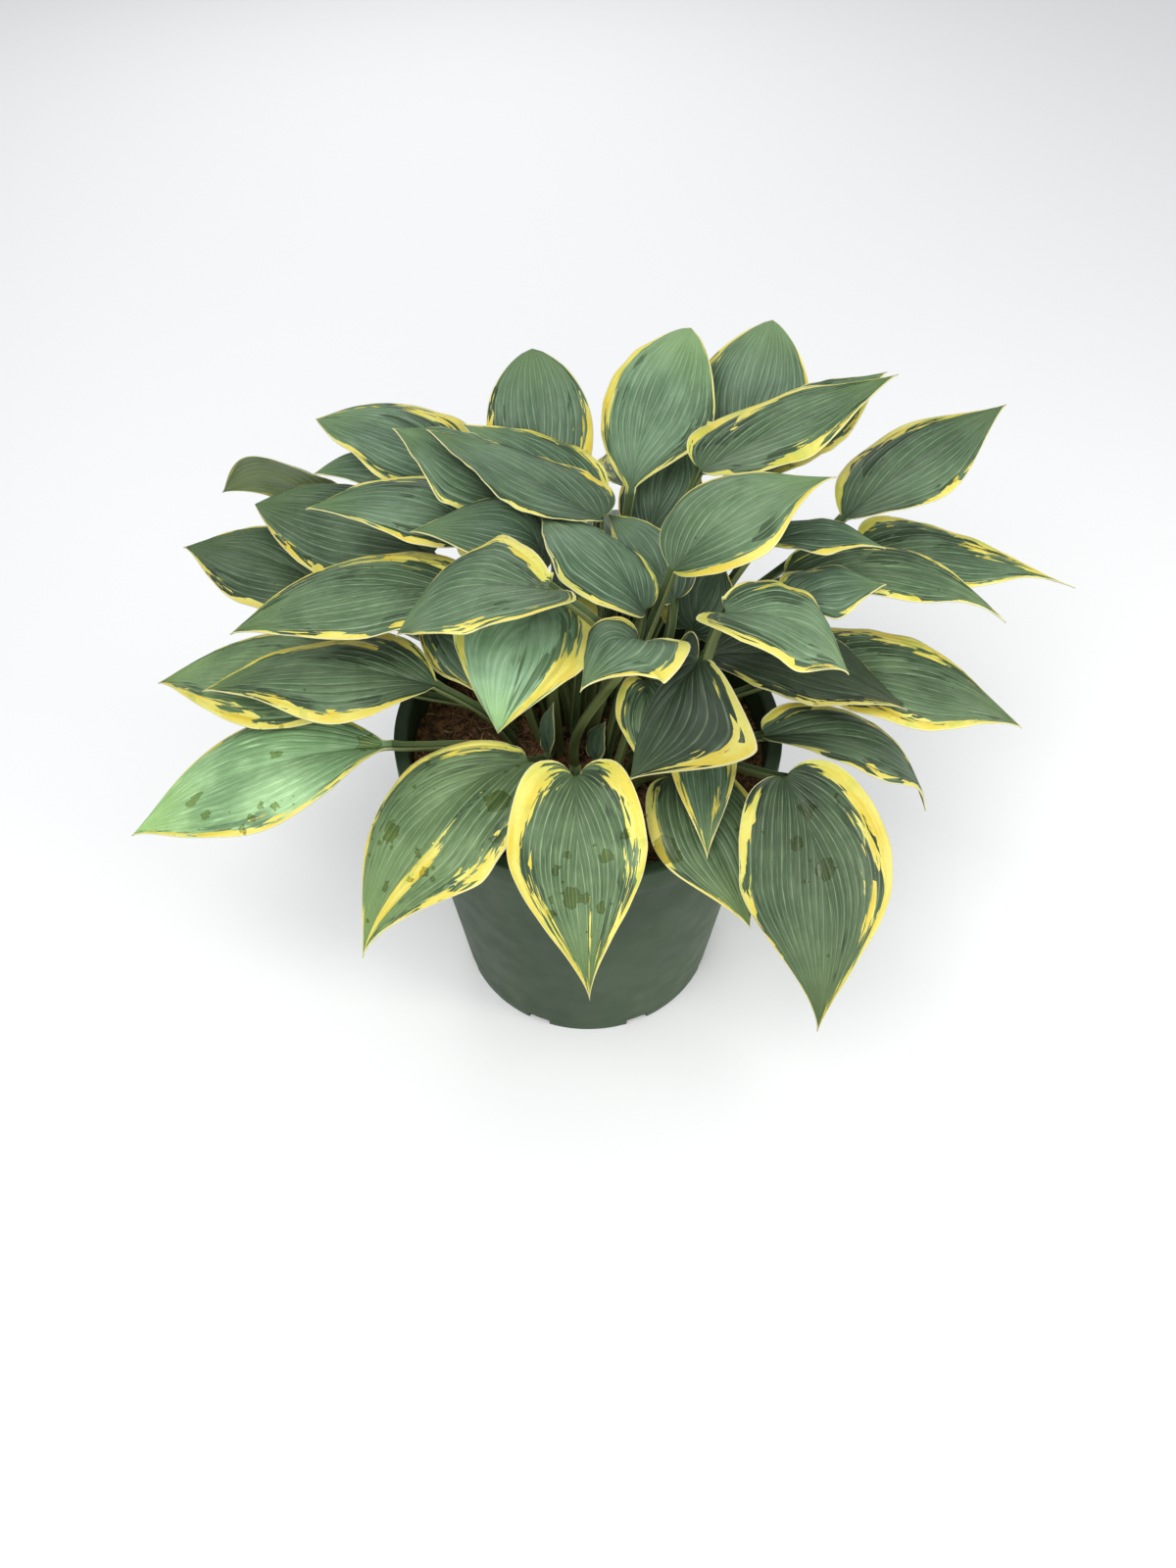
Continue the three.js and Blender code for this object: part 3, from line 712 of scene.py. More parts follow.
def make_leaf_material():
    """Green, cream, petiole, rain and underside, laid over each other in turn."""
    r = Recipe("variegated_leaf")
    inset, band, rib = r.attribute("inset"), r.attribute("band"), r.attribute("rib")
    along, upper = r.attribute("along"), r.attribute("upper")
    wet, damp, painted_lighting = r.attribute("wet"), r.attribute("damp"), r.attribute("painted_lighting")
    flow = r.attribute("flow", vector=True)
    here = r.place()
    # painted shade: the part of the leaf's painted light and shade that is below one
    painted_shade = r.math("MINIMUM", painted_lighting, 1.0)
    push = r.math("MINIMUM", r.math("POWER", r.math("DIVIDE", 6.0, band), 0.5), 1.3)
    cream, dark = streaky_margin(r, flow, r.math("DIVIDE", inset, band), push)

    # the green middle: cloudy bloom, greener towards the tip, dark lanes
    cloud = r.noise(here, 22, 4, 0.55)
    grain = r.noise(here, 420, 2, 0.6)
    # darker streaks along the ribs: partly the leaf's own streaks, partly painted shade of its
    # undulations
    brushed = rib_noise(r, flow, 1.2, 0.09, 2)
    green = r.mix(r.ramp(cloud, 0.35, 0.68), GREEN_DEEP, GREEN_BLOOM)
    green = r.mix(r.ramp(brushed, 0.4, 0.75, 0.0, 0.55), green, GREEN_DEEP)
    strands = rib_noise(r, flow, 0.9, 0.05, 3)
    green = r.mix(r.ramp(strands, 0.5, 0.72, 0.0, 0.6), green, GREEN_LIGHT)
    green = r.mix(r.ramp(along, 0.6, 1.0, 0.0, 0.5), green, GREEN_TIP)
    # rain has washed bloom off the wetter leaves, which are less blue
    green = r.tint(green, r.mix(wet, BLOOM_TINT, WASHED_TINT))
    green = r.mix(r.times(dark, 0.85), green, GREEN_DARK)
    # painted shade: a little darker between the ribs and towards the neck, times the leaf's painted
    # light and shade
    off_rib = r.off_line(rib, 1)
    painted_rib_and_neck_shade = r.times(r.ramp(off_rib, 0.05, 0.5, 1.06, 0.9), r.ramp(along, 0.0, 0.4, 0.7, 1.0))
    green = r.tint(green, r.grey(r.times(painted_rib_and_neck_shade, painted_lighting)))
    # pale ribs, and fainter veins halfway between them, both weaker on a leaf with painted shade
    line = r.math("MAXIMUM", r.ramp(off_rib, 0.01, 0.085, 1.0, 0.0),
                  r.ramp(r.off_line(rib, 2), 0.01, 0.13, 0.5, 0.0))
    line = r.times(line, r.ramp(along, 0.0, 0.1))
    line = r.times(line, painted_shade)
    line = r.times(line, r.ramp(brushed, 0.3, 0.7, 0.9, 0.3))
    green = r.mix(line, green, RIB_PALE)

    # cream margin, limier in places and near the neck, with small brown flecks
    broad = rib_noise(r, flow, 0.25, 0.03, 3)
    yellow = r.mix(r.ramp(broad, 0.36, 0.62), CREAM_WARM, CREAM_COOL)
    limy = r.math("MAXIMUM", r.ramp(r.noise(flow, 0.05, 2), 0.54, 0.68, 0.0, 0.5),
                  r.ramp(along, 0.02, 0.2, 0.4, 0.0))
    yellow = r.mix(limy, yellow, CREAM_LIME)
    yellow = r.mix(r.times(line, 0.3), yellow, CREAM_VEIN)
    fleck = r.ramp(r.noise(here, 260, 2), 0.68, 0.75, 0.0, 0.4)
    yellow = r.mix(fleck, yellow, FLECK_BROWN)
    colour = r.mix(cream, green, yellow)
    # a pale hairline along the very edge, partly the margin's own colour and partly a painted
    # highlight
    edge_line_and_highlight = r.ramp(inset, 0.3, 0.7, 0.85, 0.0)
    colour = r.mix(edge_line_and_highlight, colour, CREAM_EDGE_AND_HIGHLIGHT)

    # petiole: plain green with the same pale hairline, partly a painted highlight
    stalk_green = r.mix(r.ramp(cloud, 0.3, 0.7), PETIOLE_DARK, PETIOLE_LIGHT)
    stalk_green = r.mix(r.times(edge_line_and_highlight, 0.6), stalk_green, PETIOLE_EDGE_AND_HIGHLIGHT)
    colour = r.mix(r.ramp(along, -0.02, 0.03, 1.0, 0.0), colour, stalk_green)
    grainy = r.ramp(grain, 0.3, 0.75, 0.0, 0.25)
    colour = r.mix(grainy, colour, r.tint(colour, GRAIN_TINT))

    # rain hides the bloom
    patch, rim = wet_patches(r, here, wet, damp, upper)
    colour = r.mix(r.times(patch, 0.95), colour, r.tint(colour, SOAKED_TINT))
    colour = r.mix(r.times(rim, 0.4), colour, WET_RIM)

    # underside, and a leaf with painted shade is painted a little darker all over
    colour = r.mix(upper, r.mix(0.7, colour, UNDERSIDE), colour)
    colour = r.tint(colour, r.grey(r.math("POWER", painted_shade, 0.4)))

    roughness = r.ramp(cloud, 0.3, 0.7, 0.52, 0.44)
    roughness = r.math("SUBTRACT", roughness, r.times(patch, 0.22))
    relief = r.math("ADD", r.times(grain, 0.25), r.ramp(off_rib, 0.0, 0.2))
    normal = r.bump(relief, 0.0002, 0.5)
    normal = r.bump(patch, 0.0003, 0.4, onto=normal)
    return r.finish(colour, roughness, normal, Specular_IOR_Level=0.25)


leaf_material = make_leaf_material()
print("leaf material has", len(leaf_material.node_tree.nodes), "nodes")

# %% [markdown]
# ## The leaves
#
# Where each leaf stands is the plant's own growth, so it is a schedule and not a
# rule: root, neck and tip in millimetres, then whatever differs from the usual
# leaf. cream is the width of the pale margin on the two sides, wet how much rain
# it holds, and one more number is the painted light and shade on the whole leaf:
# above one it is lighter, below one darker. A streak is a long cream stripe: the rib
# it follows, how broad it grows, and where on the leaf it starts and ends. A drop
# is a wet patch: its place across the leaf and along it, and its radius.

# %% The leaves
LEAVES = {
    # lowest leaves, spreading over the rim towards the front
    "leaf_front_middle": dict(
        root=(-6, -46), neck=(-7, -93, 288), tip=(1, -183, 198), crest=0.35, sway=2, fold=14,
        curl=0.3, heart=0.6, cup=0.45, taper=1.45, cream=(9, 10), wet=0.7, painted_lighting=1.05,
        streaks=[(-0.2, 2.6, 0.5, 1.0)], drops=[(0.15, 0.58, 5.5), (-0.1, 0.59, 3),
        (-0.4, 0.41, 3.8), (-0.22, 0.37, 2.3), (0.15, 0.4, 2.3), (0.33, 0.46, 2.8),
        (-0.4, 0.63, 2.7), (0.55, 0.59, 2.2), (0.65, 0.64, 2.2), (-0.68, 0.31, 2.7)]
    ),
    "leaf_front_left": dict(
        root=(-24, -29), neck=(-35, -70, 275), tip=(-133, -150, 190), width=92, bow=26, crest=0.4,
        sway=12, fold=18, heart=0.2, cup=0.1, ear=-0.3, base=0.55, widest=0.45, taper=1.4,
        lop=-0.15, lean=0.1, follow=0.1, cream=(6, 8), wet=0.9, painted_lighting=1.25,
        streaks=[(-0.5, 5.2, 0.2, 0.97)], drops=[(0.3, 0.58, 6.5), (-0.3, 0.56, 2.8),
        (-0.55, 0.6, 3.3), (-0.47, 0.65, 2.2), (-0.52, 0.19, 6.6), (-0.88, 0.27, 3.8),
        (-0.12, 0.74, 2.3), (0.2, 0.88, 1.7)]
    ),
    "leaf_left_low": dict(
        root=(-42, -18), neck=(-120, -38, 252), tip=(-287, -67, 200), width=94, bow=20, fold=22,
        heart=0, base=1.1, widest=0.5, wave=4, cream=(5, 5.5), wet=0.5, painted_lighting=3.1,
        drops=[(-0.15, 0.71, 6), (-0.62, 0.66, 3.5), (0.12, 0.4, 4), (-0.68, 0.56, 2.3),
        (-0.8, 0.49, 2.9), (-0.68, 0.45, 2.3), (-0.78, 0.41, 2.3), (0.12, 0.08, 7.5),
        (-0.93, 0.53, 2.3)]
    ),
    "leaf_front_right": dict(
        root=(49, -25), neck=(113, -80, 272), tip=(138, -177, 150), width=96, bow=18, crest=0.35,
        sway=-9, fold=14, curl=0.3, heart=0.35, cup=0.2, ear=0.1, widest=0.4, taper=1.35,
        follow=0.1, cream=(15, 3.5), wet=0.6, painted_lighting=0.72, drops=[(-0.07, 0.16, 5.6),
        (-0.05, 0.41, 6.7), (0.25, 0.28, 4.4), (-0.55, 0.18, 2.8), (0.23, 0.44, 2.2),
        (0.7, 0.19, 2.2)]
    ),
    "leaf_front_right_under": dict(
        root=(28, -36), neck=(53, -63, 250), tip=(94, -144, 212), width=74, bow=12, cream=(3, 4.5),
        wet=0.8, painted_lighting=0.9, drops=[(0.88, 0.41, 7.3), (0.78, 0.48, 3.9)]
    ),
    # the middle of the crown, facing the front
    "leaf_right_spear": dict(
        root=(36, -28), neck=(66, -37, 264), tip=(68, -119, 246), width=48, bow=10, fold=38,
        curl=0.1, heart=0.2, widest=0.25, lean=0.9, follow=0.1
    ),
    "leaf_right_fold": dict(
        root=(26, -22), neck=(59, -64, 350), tip=(23, -103, 297), width=60, bow=8, fold=10,
        heart=0.6, cup=0.9, ear=0.5, base=0.6, widest=0.32, taper=1.15, lop=-0.75, follow=0.1,
        cream=(3.5, 2), wet=0.3, painted_lighting=0.45
    ),
    "leaf_middle_under": dict(
        root=(13, -44), neck=(34, -42, 310), tip=(30, -89, 290), width=37, bow=8, fold=30,
        heart=0.4, cream=(4, 5), wet=0.5, painted_lighting=0.9
    ),
    "leaf_centre_curl": dict(
        root=(-8, -18), neck=(26, -61, 360), tip=(-4, -94, 356), width=54, fold=20, curl=0.4,
        heart=0.6, cup=0.45, ear=-0.2, widest=0.3, taper=1.4, lop=-0.3, follow=0.1,
        cream=(2.5, 3.5), painted_lighting=0.95
    ),
    "leaf_centre_heart": dict(
        root=(-18, -8), neck=(-28, -18, 343), tip=(-50, -76, 305), width=84, bow=20, fold=20,
        heart=0.7, cup=0.3, widest=0.25, taper=1.05, lean=0.1, follow=0.2, cream=(9, 5), wet=0.1,
        painted_lighting=2.4
    ),
    "leaf_centre_left": dict(
        root=(3, -3), neck=(-20, -62, 397), tip=(-103, -51, 355), width=78, fold=18, heart=0.9,
        cup=0.35, ear=-0.7, widest=0.5, lop=0.25, lean=0.1, follow=0.6, cream=(4, 6), wet=0.3
    ),
    "leaf_centre_arch": dict(
        root=(-19, 3), neck=(-26, 19, 342), tip=(-103, 29, 362), bow=28, crest=0.15, fold=10,
        heart=0.1, widest=0.42, lean=0.1, follow=0.1, cream=(1.5, 6), wet=0, painted_lighting=0.9
    ),
    # spreading to the left
    "leaf_left_mid": dict(
        root=(-29, 2), neck=(-68, 6, 335), tip=(-217, 10, 300), width=76, bow=20, fold=16,
        widest=0.45, cream=(4, 10), wet=0.5
    ),
    "leaf_left_wide": dict(
        root=(-46, -6), neck=(-91, -22, 288), tip=(-241, -1, 262), width=76, bow=18, fold=16,
        heart=0.1, base=0.75, taper=1.3, wave=5, cream=(5, 10), wet=0.5, painted_lighting=0.92
    ),
    "leaf_left_under": dict(
        root=(-46, 6), neck=(-125, -2, 268), tip=(-290, 44, 224), width=96, bow=18, fold=16,
        widest=0.42, wave=5, cream=(8, 8), wet=0.8, painted_lighting=1.3
    ),
    "leaf_left_far": dict(
        root=(-48, 22), neck=(-169, 91, 262), tip=(-281, 133, 268), width=90, bow=14, widest=0.4,
        lean=0.1, follow=0.1, cream=(5, 6), wet=0.4, painted_lighting=0.7
    ),
    "leaf_left_shadow": dict(
        root=(-28, 29), neck=(-102, 87, 299), tip=(-230, 152, 290), roll=-15, taper=0.9, lop=-0.3,
        cream=(2.5, 4), wet=0.3, painted_lighting=0.8
    ),
    "leaf_left_turned": dict(
        root=(-33, 41), neck=(-174, 155, 284), tip=(-262, 184, 277), width=62, bow=18, roll=70,
        heart=0.2, lean=0.1, follow=0.1, cream=(2, 3), wet=0, painted_lighting=1.3
    ),
    # standing up and out to the back left
    "leaf_upper_left_mid": dict(
        root=(-10, 12), neck=(-56, 51, 342), tip=(-170, 64, 352), width=68, lean=0.1, follow=0.1,
        cream=(2, 10), wet=0.1
    ),
    "leaf_upper_left_small": dict(
        root=(-19, 37), neck=(-107, 122, 330), tip=(-180, 130, 330), width=34, bow=10, roll=-20,
        heart=0.2, cream=(1, 1), wet=0, painted_lighting=0.95
    ),
    "leaf_upper_left_far": dict(
        root=(-8, 28), neck=(-77, 115, 335), tip=(-174, 144, 362), width=86, bow=14, taper=0.9,
        cream=(5, 12), wet=0, painted_lighting=1.02
    ),
    "leaf_upper_left_blue": dict(
        root=(-18, 22), neck=(-52, 69, 354), tip=(-116, 91, 390), width=70, bow=8, heart=0.05,
        lean=0.1, follow=0.1, cream=(2, 2), wet=0.1
    ),
    "leaf_upper_left_long": dict(
        root=(3, 10), neck=(7, 41, 362), tip=(-96, 90, 390), width=76, bow=5, roll=15, heart=0.4,
        lean=0.1, follow=0.1, cream=(1.2, 7), wet=0.1, painted_lighting=0.9
    ),
    "leaf_upper_left_back": dict(
        root=(-1, 21), neck=(6, 88, 332), tip=(-80, 127, 370), width=70, bow=8, heart=0, lean=0.1,
        follow=0.1, cream=(3, 9), wet=0
    ),
    # tall leaves at the back
    "leaf_back_round": dict(
        root=(-7, 40), neck=(-27, 112, 316), tip=(-36, 184, 388), width=72, bow=10, heart=0.4,
        widest=0.5, taper=0.55, cream=(5, 8), wet=0, painted_lighting=0.85
    ),
    "leaf_back_tall": dict(
        root=(10, 29), neck=(27, 106, 332), tip=(65, 179, 405), width=78, bow=4, sway=-6, fold=24,
        heart=0.1, base=1.4, widest=0.48, taper=0.6, lop=0.12, wave=4, lean=0.1, follow=0.1,
        cream=(8, 6), wet=0.1, painted_lighting=1.45
    ),
    "leaf_back_right_tall": dict(
        root=(28, 36), neck=(96, 141, 330), tip=(119, 198, 400), bow=4, heart=0.2, widest=0.45,
        taper=0.7, lean=0.1, follow=0.1, cream=(5, 3), wet=0
    ),
    "leaf_back_right_long": dict(
        root=(16, 16), neck=(66, 66, 378), tip=(188, 130, 402), width=66, bow=4, widest=0.3,
        taper=1.3, lean=0.1, follow=0.1, cream=(8, 3.5), wet=0.4
    ),
    "leaf_back_right_under": dict(
        root=(24, 27), neck=(98, 86, 360), tip=(190, 163, 384), width=60, bow=10, cream=(3, 6),
        wet=0, painted_lighting=0.95
    ),
    "leaf_centre_right_long": dict(
        root=(14, -6), neck=(48, 0, 358), tip=(140, 40, 392), width=76, base=0.9, widest=0.32,
        taper=1.5, lean=0.1, follow=0.1, cream=(2, 4.5), wet=0.4, painted_lighting=1.2
    ),
    "leaf_back_shade": dict(
        root=(14, 41), neck=(40, 101, 305), tip=(64, 157, 345), width=60, bow=6, cream=(3, 3),
        wet=0, painted_lighting=0.85
    ),
    # small leaves down among the petioles
    "leaf_centre_shade": dict(
        root=(21, 6), neck=(50, 12, 326), tip=(11, 62, 350), width=50, bow=12, heart=0.2,
        cream=(3, 3), wet=0, painted_lighting=0.85
    ),
    "leaf_centre_twist": dict(
        root=(12, -16), neck=(31, -22, 348), tip=(-28, 36, 368), width=70, roll=20, heart=0.2,
        lop=-0.3, lean=0.1, follow=0.1, cream=(2, 6), wet=0
    ),
    # spreading to the right
    "leaf_right_top": dict(
        root=(34, 24), neck=(163, 94, 322), tip=(278, 177, 352), width=72, bow=8, heart=0.2,
        base=0.8, wave=4, cream=(8, 2.5), wet=0.3, painted_lighting=0.92
    ),
    "leaf_right_long": dict(
        root=(42, 34), neck=(184, 115, 280), tip=(341, 116, 246), width=74, bow=10, widest=0.3,
        taper=2.4, cream=(14, 2), wet=0.3
    ),
    "leaf_right_arch": dict(
        root=(49, 18), neck=(125, 56, 305), tip=(278, 67, 258), width=58, bow=24, taper=1.5,
        lean=0.1, follow=0.1, cream=(8, 2.5), wet=0.5
    ),
    "leaf_right_narrow": dict(
        root=(30, 13), neck=(102, 48, 338), tip=(182, 54, 330), width=36, bow=10, heart=0.2,
        lean=0.6, follow=0.1, cream=(2, 3), wet=0, painted_lighting=0.9
    ),
    "leaf_right_small": dict(
        root=(40, 8), neck=(118, 21, 318), tip=(180, 30, 322), width=50, bow=4, heart=0.2, lean=0.6,
        follow=0.1, cream=(4, 2), wet=0
    ),
    "leaf_right_curl": dict(
        root=(38, -16), neck=(73, -47, 368), tip=(144, -54, 329), width=68, bow=15, heart=0.9,
        cup=0.35, ear=0.6, widest=0.4, lean=0.9, follow=0.1, cream=(7, 5), wet=0.3, painted_lighting=1.15
    ),
    "leaf_right_mid": dict(
        root=(34, 0), neck=(75, -13, 305), tip=(193, -27, 272), width=72, lean=0.1, cream=(3, 4),
        wet=0.6, painted_lighting=0.4
    ),
    "leaf_right_wide": dict(
        root=(53, 6), neck=(123, 7, 268), tip=(289, 14, 212), width=92, bow=22, wave=4, follow=0.1,
        cream=(13, 6), wet=0.5, painted_lighting=0.88
    ),
    "leaf_right_low": dict(
        root=(46, -6), neck=(108, -32, 254), tip=(231, -15, 160), width=60, bow=30, heart=0.6,
        cup=0.5, ear=0.3, cream=(8, 3), wet=0.3, painted_lighting=0.8
    ),
    # small leaves and new shoots near the soil
    "leaf_dark_middle": dict(
        root=(26, -11), neck=(65, 27, 290), tip=(83, 53, 325), width=60, bow=10, lean=0.9,
        cream=(3, 3), wet=0, painted_lighting=0.8
    ),
    "leaf_dark_small": dict(
        root=(-8, -1), neck=(-5, 20, 318), tip=(-22, 42, 340), width=30, bow=4, heart=0.2, lean=0.1,
        cream=(1, 1), wet=0, painted_lighting=0.8
    ),
    "leaf_left_edge": dict(
        root=(-36, 20), neck=(-98, 28, 290), tip=(-61, -10, 262), width=40, bow=8, heart=0.2,
        lean=0.1, cream=(5, 4), wet=0, painted_lighting=0.9
    ),
    "shoot_spear": dict(
        root=(-36, -28), neck=(-24, -18, 224), tip=(-21, -16, 268), width=20, bow=2, fold=45,
        heart=0, widest=0.4, wave=0.5, cream=(0.9, 0.9), wet=0
    ),
    "shoot_fold": dict(
        root=(10, -34), neck=(6, -18, 218), tip=(11, -15, 250), width=24, bow=2, fold=45, heart=0,
        widest=0.4, wave=0.5, lean=0.9, follow=0.1, cream=(0.9, 0.9), wet=0
    ),
    # low leaves over the rim at the back
    "leaf_back_low_middle": dict(
        root=(-1, 53), neck=(24, 120, 272), tip=(30, 236, 214), width=78, fold=14, heart=0.4,
        follow=0.1, cream=(7, 7)
    ),
    "leaf_back_low_left": dict(
        root=(-23, 48), neck=(-44, 118, 264), tip=(-92, 226, 208), width=64, fold=14, heart=0.4,
        cream=(7, 7)
    ),
    "leaf_back_low_right": dict(
        root=(26, 46), neck=(62, 112, 285), tip=(122, 212, 238), width=70, bow=14, fold=14,
        heart=0.4, cream=(7, 7)
    ),
    "leaf_back_left_mid": dict(
        root=(-42, 33), neck=(-93, 80, 252), tip=(-200, 150, 198), width=62, fold=14, heart=0.4,
        lean=0.6, cream=(7, 7)
    ),
    "leaf_back_middle_mid": dict(
        root=(10, 52), neck=(30, 132, 318), tip=(48, 226, 282), width=66, bow=12, fold=14,
        heart=0.4, follow=0.1, cream=(7, 7)
    ),
}

leaf_pieces = []
for seed, (node, own) in enumerate(LEAVES.items(), start=1):
    leaf_pieces.append(make_leaf(node, {**LEAF, **own}, leaf_material, seed))
faces_made = sum(len(p.data.polygons) for p in leaf_pieces)
print(len(leaf_pieces), "leaves,", faces_made, "faces")

# %% [markdown]
# ## The compost
#
# Compost is a loose crust of fine brown crumbs with bark fibres lying on it. The
# crumbs are one lumpy sheet: smooth noise at several sizes lifts a disc, and the
# sheet is closed with a wall and a floor inside the pot. The fibres are separate
# thin strips, each bent a little and resting on the crumbs.

# %% Compost surface
# the pot's own sizes come first, because the compost fills it
POT_HEIGHT = 232.0
RIM_DEPTH = 18.0
BASE_RADIUS = 95.0
WALL_TOP_RADIUS = 118.0
WALL_THICKNESS = 2.6
FLOOR_THICKNESS = 3.0
RIM_RADIUS = 125.0
RIM_INNER_RADIUS = 116.0
RIM_FOOT = POT_HEIGHT - RIM_DEPTH
SLOPE = (WALL_TOP_RADIUS - BASE_RADIUS) / RIM_FOOT
SOIL_LEVEL = 210.0
SOIL_FOOT = 8.0  # where the sheet's wall turns in towards its flat underside
SOIL_FOOT_RADIUS = 80.0
SOIL_GAP = 0.3  # between compost and pot
SOIL_CROWN = 1.5  # how much higher the middle is than the edge
SOIL_RINGS = 110
SOIL_COLUMNS = 200
SOIL_SEED = 900
CRUMB_WAVES = ((45, 0.9), (14, 0.8), (6, 0.7), (3, 0.45))  # wavelength and height
CRUMB_DARK = (0.03, 0.018, 0.009)
CRUMB_LIGHT = (0.34, 0.18, 0.072)
CRUMB_DAMP = (0.07, 0.042, 0.02)


def wall(z):
    """Radius of the pot's outer wall at height z."""
    return BASE_RADIUS + SLOPE * z


SOIL_RADIUS = wall(SOIL_LEVEL) - WALL_THICKNESS - SOIL_GAP


def soil_height(x, y):
    """Height of the crumbs: the level, a slight rise to the middle, and noise of four
    wavelengths, each weaker than the last."""
    p = np.stack([x, y], -1)
    z = SOIL_LEVEL + SOIL_CROWN * (1 - np.hypot(x, y) / SOIL_RADIUS)
    for seed, (wave, lift) in enumerate(CRUMB_WAVES, start=SOIL_SEED):
        z = z + lift * soft_noise(p, wave, np.random.default_rng(seed))
    return z


def make_soil():
    """A closed disc on a polar grid: crumbs on top, a wall and a flat underside."""
    columns = SOIL_COLUMNS
    bottom = FLOOR_THICKNESS + SOIL_GAP
    foot = wall(SOIL_FOOT) - WALL_THICKNESS - SOIL_GAP
    radius = np.r_[np.linspace(0.8, SOIL_RADIUS, SOIL_RINGS), foot, SOIL_FOOT_RADIUS]
    angle = np.linspace(0, 2 * np.pi, columns, endpoint=False)
    x, y = radius[:, None] * np.cos(angle), radius[:, None] * np.sin(angle)
    z = np.vstack([soil_height(x[:SOIL_RINGS], y[:SOIL_RINGS]),
                   np.tile([[SOIL_FOOT], [bottom]], columns)])
    rings = np.stack([x, y, z], -1)
    points = np.vstack([rings.reshape(-1, 3), rings[0].mean(0), [0, 0, bottom]])
    rows = len(rings)
    j = np.arange(columns)
    k = (j + 1) % columns
    centre = np.full(columns, rows * columns)
    faces = [grid_faces(rows, columns)[:, ::-1],
             np.stack([centre, j, k], -1),
             np.stack([centre + 1, (rows - 1) * columns + k, (rows - 1) * columns + j], -1)]
    return make_piece("compost", points * MM, faces)


def make_soil_material():
    """Brown crumbs, darker where they are damp, with a rough grainy surface."""
    r = Recipe("compost_crumbs")
    here = r.place()
    crumbs = r.noise(here, 260, 5, 0.65)
    damp = r.noise(here, 40, 3)
    colour = r.mix(r.ramp(crumbs, 0.35, 0.7), CRUMB_DARK, CRUMB_LIGHT)
    colour = r.mix(r.ramp(damp, 0.4, 0.7, 0.0, 0.6), colour, CRUMB_DAMP)
    pebble, _ = r.cells(here, 320)
    normal = r.bump(r.math("ADD", crumbs, pebble), 0.0012, 0.9)
    return r.finish(colour, 0.95, normal, Specular_IOR_Level=0.2)


dress(make_soil(), make_soil_material(), "soil", "soil")
print("compost: radius", round(SOIL_RADIUS, 1), "mm")


# %% Bark fibres
FIBRES = 1100
FIBRE_STEPS = 6
FIBRE_SEED = 41
FIBRE_MARGIN = 8.0  # bare ring between the fibres' starting places and the edge
FIBRE_SECTION = np.array([[1, 0], [0, 0.55], [-1, 0], [0, -0.55]])
FIBRE_DARK = (0.09, 0.048, 0.022)
FIBRE_LIGHT = (0.36, 0.18, 0.08)
FIBRE_PALE = (0.6, 0.4, 0.22)
FIBRE_GRAIN = (0.02, 0.011, 0.007)


def make_fibres():
    """Thin strips, all at once: a centre line that bends steadily as it goes, a
    four-sided section that narrows to both ends, and the height of the crumbs."""
    rng = np.random.default_rng(FIBRE_SEED)
    each, whole_turn = (FIBRES, 1), 2 * np.pi
    radius = (SOIL_RADIUS - FIBRE_MARGIN) * np.sqrt(rng.uniform(0, 1, each))
    turn = rng.uniform(0, whole_turn, each)
    heading, bend = rng.uniform(0, whole_turn, each), rng.normal(0, 0.07, each)
    length = rng.uniform(5, 20, each)
    width, lift = rng.uniform(0.25, 0.75, each), rng.uniform(0.3, 1.6, each)
    tilt = rng.normal(0, 0.1, each)

    t = np.linspace(-0.5, 0.5, FIBRE_STEPS)
    course = heading + bend * length * t
    step = length / (FIBRE_STEPS - 1)
    x = radius * np.cos(turn) + np.cumsum(np.cos(course) * step, 1)
    y = radius * np.sin(turn) + np.cumsum(np.sin(course) * step, 1)
    pull = np.minimum(1, (SOIL_RADIUS - 2) / np.hypot(x, y))
    x, y = x * pull, y * pull
    z = soil_height(x, y) + lift + tilt * length * t
    slim = (width * (1 - 1.6 * t**2))[:, :, None, None]
    across = np.stack([-np.sin(course), np.cos(course), 0 * course], -1)[:, :, None]
    centre = np.stack([x, y, z], -1)[:, :, None]
    sideways, upwards = FIBRE_SECTION[:, :1], FIBRE_SECTION[:, 1:]
    points = centre + across * (sideways * slim) + UP * (upwards * slim)

    corners = len(FIBRE_SECTION)
    last = (FIBRE_STEPS - 1) * corners
    ends = np.array([[3, 2, 1, 0], [last, last + 1, last + 2, last + 3]])
    one = np.vstack([grid_faces(FIBRE_STEPS, corners), ends])
    first = np.arange(FIBRES)[:, None, None] * FIBRE_STEPS * corners
    shade = np.repeat(rng.uniform(0, 1, FIBRES), FIBRE_STEPS * corners)
    faces = (one + first).reshape(-1, 4)
    return make_piece("bark_fibres", points.reshape(-1, 3) * MM, [faces], dict(shade=shade))


def make_fibre_material():
    """Brown bark, each fibre of its own shade and a few of them pale."""
    r = Recipe("bark_fibre")
    shade = r.attribute("shade")
    grain = r.noise(r.place(), 700, 2)
    colour = r.mix(r.ramp(shade, 0.0, 0.75), FIBRE_DARK, FIBRE_LIGHT)
    colour = r.mix(r.ramp(shade, 0.86, 0.96), colour, FIBRE_PALE)
    colour = r.mix(r.ramp(grain, 0.4, 0.7, 0.0, 0.5), colour, FIBRE_GRAIN)
    return r.finish(colour, 0.85, r.bump(grain, 0.0004, 0.6))


fibres = dress(make_fibres(), make_fibre_material(), "soil")
print("fibres:", len(fibres.data.polygons), "faces")

# %% [markdown]
# ## The pot
#
# A moulded nursery pot is a thin tapered shell with a band round its rim, and
# drain notches where wall and floor meet. The shell is one profile carried round
# the axis. Its outer and inner lines have the same number of points in the corner,
# so a notch is made by leaving faces out of both there and walling the gap between
# them, which keeps the shell closed.

